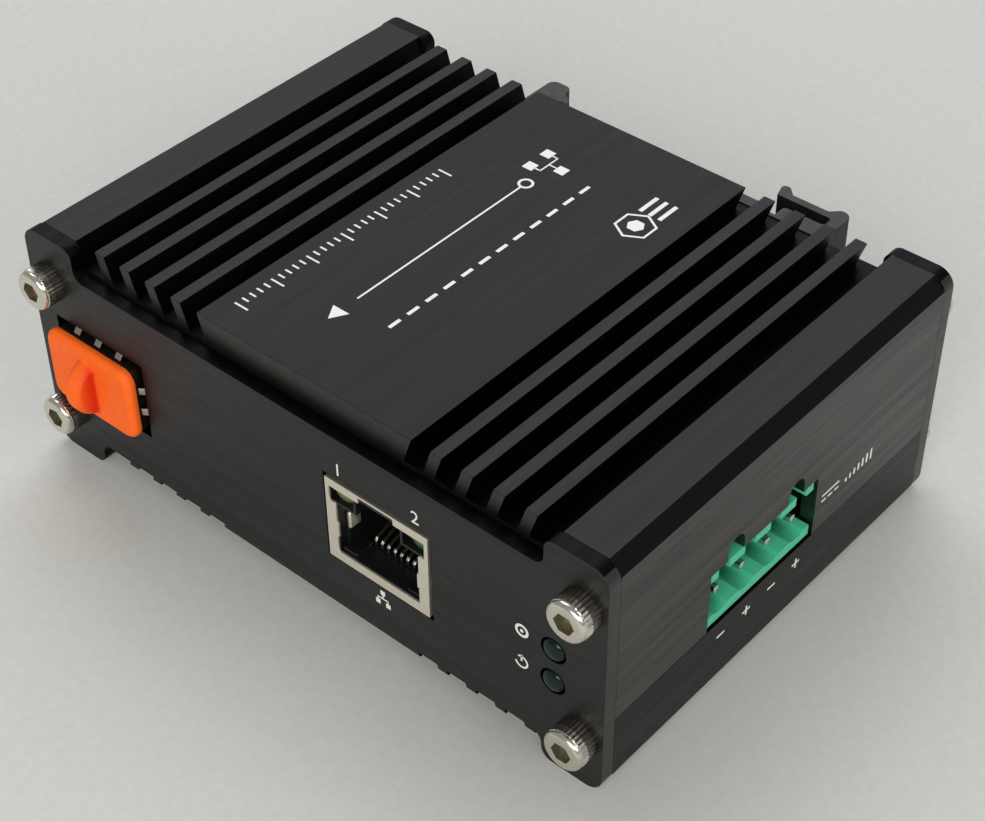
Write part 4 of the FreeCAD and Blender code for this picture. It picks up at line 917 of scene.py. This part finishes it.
@dataclass
class PowerTerminal:
    """The socket of the power terminal and its four pins.

    Attributes:
        poles: How many poles it has.
        pitch: The distance between two poles.
        moulded_rounding: The rounding on its moulded edges.
        pin_rounding: The rounding on the pins.
        floor: The height of the socket's floor over its foot.
        scoop_radius: The radius of the scoop under each pin.
        scoop_half: Half the length of a scoop, from the wall inwards.
        scoop_depth: How deep the scoop is.
        lip: How far the scoop stays behind the socket's face.
    """

    poles: int = 4
    pitch: float = 5.08 * MM
    moulded_rounding: float = 0.10 * MM
    pin_rounding: float = 0.22 * MM
    floor: float = 1.5 * MM
    scoop_radius: float = 2.35 * MM
    scoop_half: float = 3.0 * MM
    scoop_depth: float = 0.75 * MM
    lip: float = 2.6 * MM

    def depth(self, place: Vector, normal: Vector) -> float:
        """Paint shade as a deeper green towards the bottom of a scoop."""
        wall, foot, strength = 1.0 * MM, 0.5 * MM, 2.2
        low, high = box_of("terminal_header")
        inside = low.x + wall < place.x < high.x - self.lip and place.z > low.z + foot
        if not inside or normal.z <= LEANING:
            return 0.0
        return strength * (low.z + self.floor - place.z) / self.scoop_depth

    def build(self) -> None:
        """Scoop out the floor of the socket and finish it with its pins."""
        sliver = 0.03 * MM
        low, high = box_of("terminal_header")
        header = copy_of_node("terminal_header")
        for pole in range(self.poles):
            place = (high.x - self.lip - self.scoop_half,
                     (low.y + high.y) / 2 + (pole - (self.poles - 1) / 2) * self.pitch,
                     low.z + self.floor - self.scoop_depth + self.scoop_radius)
            deselect()
            bpy.ops.mesh.primitive_uv_sphere_add(
                segments=40, ring_count=20, radius=self.scoop_radius, location=place,
                scale=(self.scoop_half / self.scoop_radius, 1, 1))
            cut_away(header, bpy.context.object)
        mend(header, sliver)
        soften(header, self.moulded_rounding)
        # The scoops take a deeper green as painted shade.
        paint_shade(header, self.depth)
        dress(header, (GREEN,))
        settle(header, "terminal_green", "terminal_header")
        finished_node("terminal_pins", self.pin_rounding, (TIN,), "tin_pin")


@dataclass
class StatusLights:
    """The two status lights beside the jack.

    Attributes:
        lens: The lens of both lights.
    """

    lens: Lens = Lens(height=0.75 * MM, growth=1.03, proud=0.2 * MM)

    def build(self) -> None:
        """Finish both lights and their holder."""
        for node in ("upper_status_light", "lower_status_light"):
            self.lens.grow(node, STATUS_LENS, "status_green")
        repaint("status_light_holder", BLACK_INSERT)


@dataclass
class RailClip:
    """The moulded clip on the rear plate, with its screws.

    Attributes:
        rounding: The rounding on its moulded edges.
    """

    rounding: float = 0.2 * MM

    def build(self) -> None:
        """Finish the clip and its screws."""
        finished_node("din_clip", self.rounding, (BLACK_NYLON,), "clip_black")
        repaint("din_clip_screws", STAINLESS)


@dataclass
class BoardParts:
    """The circuit board and the parts that it carries.

    Attributes:
        finishes: Each part's node and its finish.
    """

    finishes: tuple[tuple[str, Finish], ...] = (
        ("circuit_board", LAMINATE), ("converter_chip", PACKAGE), ("magnetics_module", PACKAGE),
        ("power_transformer", FERRITE), ("power_inductor", FERRITE), ("input_capacitors", SLEEVE),
    )

    def build(self) -> None:
        """Give every inner part its finish."""
        for node, finish in self.finishes:
            repaint(node, finish)


@dataclass
class PrintedMarks:
    """The generic signs in white ink on the front plate, the wall and the land.

    Each sign is drawn in its own plane, in millimetres, with x across and y up, as closed
    shapes that stand a little out of the surface and reach a little into it.

    Attributes:
        rise: How thick the ink stands on the surface.
        stroke: The width of a thin line.
    """

    rise: float = 0.02
    stroke: float = 0.26

    def bar(self, x: float, y: float, width: float, height: float) -> Piece:
        """Draw a bar.

        Args:
            x: Its middle, across.
            y: Its middle, upwards.
            width: Its width.
            height: Its height.

        Returns:
            The bar.
        """
        return primitive("cube", size=1, location=(x, y, 0), scale=(width, height, 2 * self.rise))

    def dot(self, x: float, y: float, radius: float, corners: int = 20,
            turn: float = 0.0) -> Piece:
        """Draw a filled disc, or a filled shape with few corners, turned by some degrees."""
        return primitive("cylinder", vertices=corners, radius=radius, depth=2 * self.rise,
                         location=(x, y, 0), rotation=(0, 0, math.radians(turn)))

    def ring(self, x: float, y: float, radius: float, corners: int = 28) -> Piece:
        """Draw a ring, or an outline with few corners."""
        thickness = self.stroke / math.sqrt(2)
        ring = primitive("torus", major_radius=radius, minor_radius=thickness,
                         major_segments=corners, minor_segments=4, location=(x, y, 0))
        ring.data.transform(Matrix.Diagonal((1, 1, self.rise / thickness, 1)))
        return ring

    def arc(self, x: float, y: float, radius: float, start: float,
            sweep: float) -> Piece:
        """Draw an arc.

        Args:
            x: The middle of its circle, across.
            y: The middle of its circle, upwards.
            radius: Its radius.
            start: The angle at which it starts, in degrees.
            sweep: How far it goes round, in degrees.

        Returns:
            The arc.
        """
        start, sweep = math.radians(start), math.radians(sweep)
        arc = primitive("plane", size=1)
        arc.data.transform(Matrix.Translation((radius, 0, 0)) @ Matrix.Rotation(math.pi / 2, 4, "X")
                           @ Matrix.Diagonal((self.stroke, 2 * self.rise, 1, 1)))
        with editing(arc):
            bpy.ops.mesh.spin(steps=24, angle=sweep, center=(0, 0, 0), axis=(0, 0, 1))
            bpy.ops.mesh.select_all(action="SELECT")
            bpy.ops.mesh.remove_doubles(threshold=0.0001)
            turn_outwards()
        reach = [math.atan2(vertex.co.y, vertex.co.x) for vertex in arc.data.vertices]
        first = 0.0 if max(reach) > -min(reach) else -sweep
        arc.data.transform(Matrix.Translation((x, y, 0)) @ Matrix.Rotation(start - first, 4, "Z"))
        return arc

    def numeral(self, sign: str, x: float, y: float) -> Piece:
        """Draw one numeral, centred on its place."""
        height, share_of_type = 1.9, 0.72
        deselect()
        bpy.ops.object.text_add()
        words = bpy.context.object.data
        words.body = sign
        words.size = height / share_of_type
        words.extrude = self.rise
        words.align_x = words.align_y = "CENTER"
        words.resolution_u = 6
        bpy.ops.object.convert(target="MESH")
        piece = bpy.context.object
        with editing(piece):
            bpy.ops.mesh.remove_doubles(threshold=0.0001)
        piece.data.transform(Matrix.Translation((x, y, 0)))
        return piece

    def minus(self, x: float, y: float) -> list[Piece]:
        """Draw a minus sign."""
        return [self.bar(x, y, 1.5, 0.3)]

    def plus(self, x: float, y: float) -> list[Piece]:
        """Draw a plus sign."""
        return [*self.minus(x, y), *(self.bar(x, y + rise, 0.3, 0.6) for rise in (-0.45, 0.45))]

    def tree(self, x: float, y: float, size: float) -> list[Piece]:
        """Draw a network sign of a given size: one box over two, with the lines between them."""
        box, low, side, line = 0.3 * size, -0.36 * size, 0.34 * size, 0.8 * self.stroke
        return [
            self.bar(x, y - low, box, box),
            self.bar(x - side, y + low, box, box),
            self.bar(x + side, y + low, box, box),
            self.bar(x, y + 0.1 * size, line, 0.24 * size),
            self.bar(x, y - 0.04 * size, 2 * side + line, line),
            self.bar(x - side, y - 0.13 * size, line, 0.18 * size),
            self.bar(x + side, y - 0.13 * size, line, 0.18 * size),
        ]

    def polarity(self, x: float, y: float) -> list[Piece]:
        """Draw a direct current sign and seven rising bars."""
        width, gap = 3.6, 0.45
        signs = [self.bar(x, y + gap, width, self.stroke)]
        signs += [self.bar(x + step * width * 0.375, y - gap, width / 4, self.stroke)
                  for step in (-1, 0, 1)]
        for step in range(7):
            height = 0.6 + 0.18 * step
            signs.append(self.bar(x + 3.4 + 0.9 * step, y - 0.8 + height / 2, 0.34, height))
        return signs

    def lay_on(self, signs: Sequence[Piece], name: str, origin: Sequence[float],
               across: Sequence[float], up: Sequence[float]) -> None:
        """Print a group of signs on a face.

        Args:
            signs: The signs, in their own plane.
            name: What the group is called.
            origin: The point of the face that is the plane's origin, in metres.
            across: The way that x points on the face.
            up: The way that y points on the face.
        """
        group = joined(signs, name)
        across, up = Vector(across), Vector(up)
        axes = Matrix((across, up, across.cross(up))).transposed().to_4x4()
        group.data.transform(Matrix.Translation(origin) @ axes @ Matrix.Scale(MM, 4))
        dress(group, (INK,))
        settle(group, None)

    def front(self) -> None:
        """Print the signs of the jack and of the status lights."""
        low, high = (corner / MM for corner in box_of("rj45_shield"))
        middle, over = (low.x + high.x) / 2, high.z + 1.9
        beside = box_of("upper_status_light")[0].x / MM - 3.0
        upper, lower = (box_of(f"{level}_status_light")[1].z / MM - 1.5
                        for level in ("upper", "lower"))
        signs = [
            self.numeral("1", middle - 5.9, over),
            self.numeral("2", middle + 6.1, over),
            *self.tree(middle + 0.3, low.z - 2.2, 2.4),
            self.ring(beside, upper, 0.8),
            self.dot(beside, upper, 0.25),
            self.arc(beside, lower, 0.85, 125, 290),
            self.bar(beside, lower + 0.6, self.stroke, 1.0),
        ]
        face = box_of("front_plate")[0].y
        self.lay_on(signs, "front_signs", (0, face, 0), (1, 0, 0), (0, 0, 1))

    def wall(self) -> None:
        """Print the signs of the power terminal."""
        low, high = (corner / MM for corner in box_of("terminal_header"))
        poles = PowerTerminal.poles
        signs = []
        for pole in range(poles):
            place = low.y + (pole + 0.5) * (high.y - low.y) / poles
            signs += (self.minus, self.plus)[pole % 2](place, low.z - 2.9)
        signs += self.polarity(high.y + 3.6, low.z + 4.6)
        side = box_of("upper_case")[1].x
        self.lay_on(signs, "wall_signs", (side, 0, 0), (0, 1, 0), (0, 0, 1))

    def land(self) -> None:
        """Print the signs on the land: two scales, a link line and a plain emblem."""
        signs = []
        tall, short, level = 2.2, 1.1, -4.6
        for step in range(31):
            height = short if step % 5 else tall
            signs.append(self.bar((step - 7.5) * 1.2, -14.0 + (height - tall) / 2, self.stroke,
                                  height))
        signs += [self.bar((step - 5.5) * 3.2, 2.0, 1.9, 0.5) for step in range(12)]
        signs += [self.bar(2.0, level, 30.0, self.stroke),
                  self.ring(-13.9, level, 0.9),
                  self.dot(20.5, level, 1.5, 3, -90),
                  *self.tree(-19.0, level - 0.2, 5.2)]
        x, y = -15.8, 11.6
        signs += [self.ring(x, y, 2.6, 6), self.dot(x, y, 1.2, 6)]
        signs += [self.bar(x - 4.6, y + rise, 3.6, 0.6) for rise in (-1.5, 0, 1.5)]
        top = box_of("upper_case")[1].z
        self.lay_on(signs, "land_signs", (0, 0, top), (0, -1, 0), (1, 0, 0))

    def build(self) -> None:
        """Print every sign."""
        self.front()
        self.wall()
        self.land()


@dataclass(frozen=True)
class SoftBox:
    """A soft box.

    Attributes:
        name: What it is called.
        place: Where it hangs.
        size: Its width and height.
        power: Its power in watts.
        colour: Its colour, as a hex value.
    """

    name: str
    place: tuple[float, float, float]
    size: tuple[float, float]
    power: float
    colour: str

    def hang(self, aim: Vector) -> None:
        """Hang the box so that it faces a point."""
        light = bpy.data.lights.new(self.name, "AREA")
        light.shape = "RECTANGLE"
        light.size, light.size_y = self.size
        light.energy = self.power
        light.color = linear(self.colour)[:3]
        lamp = bpy.data.objects.new(self.name, light)
        lamp.location = self.place
        lamp.rotation_euler = (aim - Vector(self.place)).to_track_quat("-Z", "Y").to_euler()
        bpy.context.scene.collection.objects.link(lamp)


@dataclass
class Studio:
    """The floor, the lights and the camera.

    Attributes:
        eye: Where the camera stands.
        gaze: The way in which it looks.
        across: The way to its right, which gives it a slight roll.
        lens: Its focal length in millimetres, on a sensor 36 mm wide.
        shift: How far the lens is shifted, as shares of the picture's width.
        boxes: A large box behind the unit, and smaller ones in front and at its side.
    """

    eye: tuple[float, float, float] = (0.13428, -0.15083, 0.18733)
    gaze: tuple[float, float, float] = (-0.49559, 0.56247, -0.66182)
    across: tuple[float, float, float] = (0.75472, 0.65600, -0.00764)
    lens: float = 75.365
    shift: tuple[float, float] = (0.0014, -0.0011)
    boxes: tuple[SoftBox, ...] = (
        SoftBox("rear_box", (-0.48, 0.50, 0.86), (0.95, 0.75), 7.0, "#fbfdff"),
        SoftBox("front_box", (0.50, -0.85, 0.62), (0.7, 0.5), 8.5, "#fffdf8"),
        SoftBox("side_box", (0.95, -0.1, 0.55), (0.5, 0.4), 2.0, "#ffffff"),
    )

    def lay_floor(self) -> None:
        """Lay the floor."""
        floor = primitive("grid", x_subdivisions=4, y_subdivisions=4, size=3.0)
        floor.name = "floor"
        floor.data.materials.append(PAPER.material())

    def light(self) -> None:
        """Hang the soft boxes and fill the room with a soft light."""
        for box in self.boxes:
            box.hang(Vector((0, 0, 20 * MM)))
        world = bpy.data.worlds.new("soft_room")
        world.use_nodes = True
        room = world.node_tree.nodes["Background"].inputs
        room["Color"].default_value = linear("#e3e4e2")
        room["Strength"].default_value = 0.42
        bpy.context.scene.world = world
        bpy.context.scene.view_settings.view_transform = "Standard"

    def stand_camera(self) -> None:
        """Stand the camera where the unit is seen from above its right front corner."""
        camera = bpy.data.cameras.new("view")
        camera.lens, camera.sensor_width = self.lens, 36.0
        camera.clip_start = 10 * MM
        camera.shift_x, camera.shift_y = self.shift
        right, back = Vector(self.across).normalized(), -Vector(self.gaze).normalized()
        axes = Matrix((right, back.cross(right), back)).transposed().to_4x4()
        stand = bpy.data.objects.new("view", camera)
        stand.matrix_world = Matrix.Translation(self.eye) @ axes
        bpy.context.scene.collection.objects.link(stand)
        bpy.context.scene.camera = stand

    def build(self) -> None:
        """Set the whole studio."""
        self.lay_floor()
        self.light()
        self.stand_camera()


def corners(box: Sequence[Vector]) -> list[list[float]]:
    """Write a box's two corners as plain lists."""
    return [list(corner) for corner in box]


def main() -> None:
    """Dress every sub-assembly in order, then set the studio round it."""
    logging.basicConfig(level=logging.INFO, format="%(message)s")
    for group in (FinnedCase, EndPlates, CapScrews, SoftPlug, NetworkJack, FibreBay, PowerTerminal,
                  StatusLights, RailClip, BoardParts, PrintedMarks, Studio):
        group().build()
        LOG.info("%s is done", group.__name__)


if __name__ == "__main__":
    main()
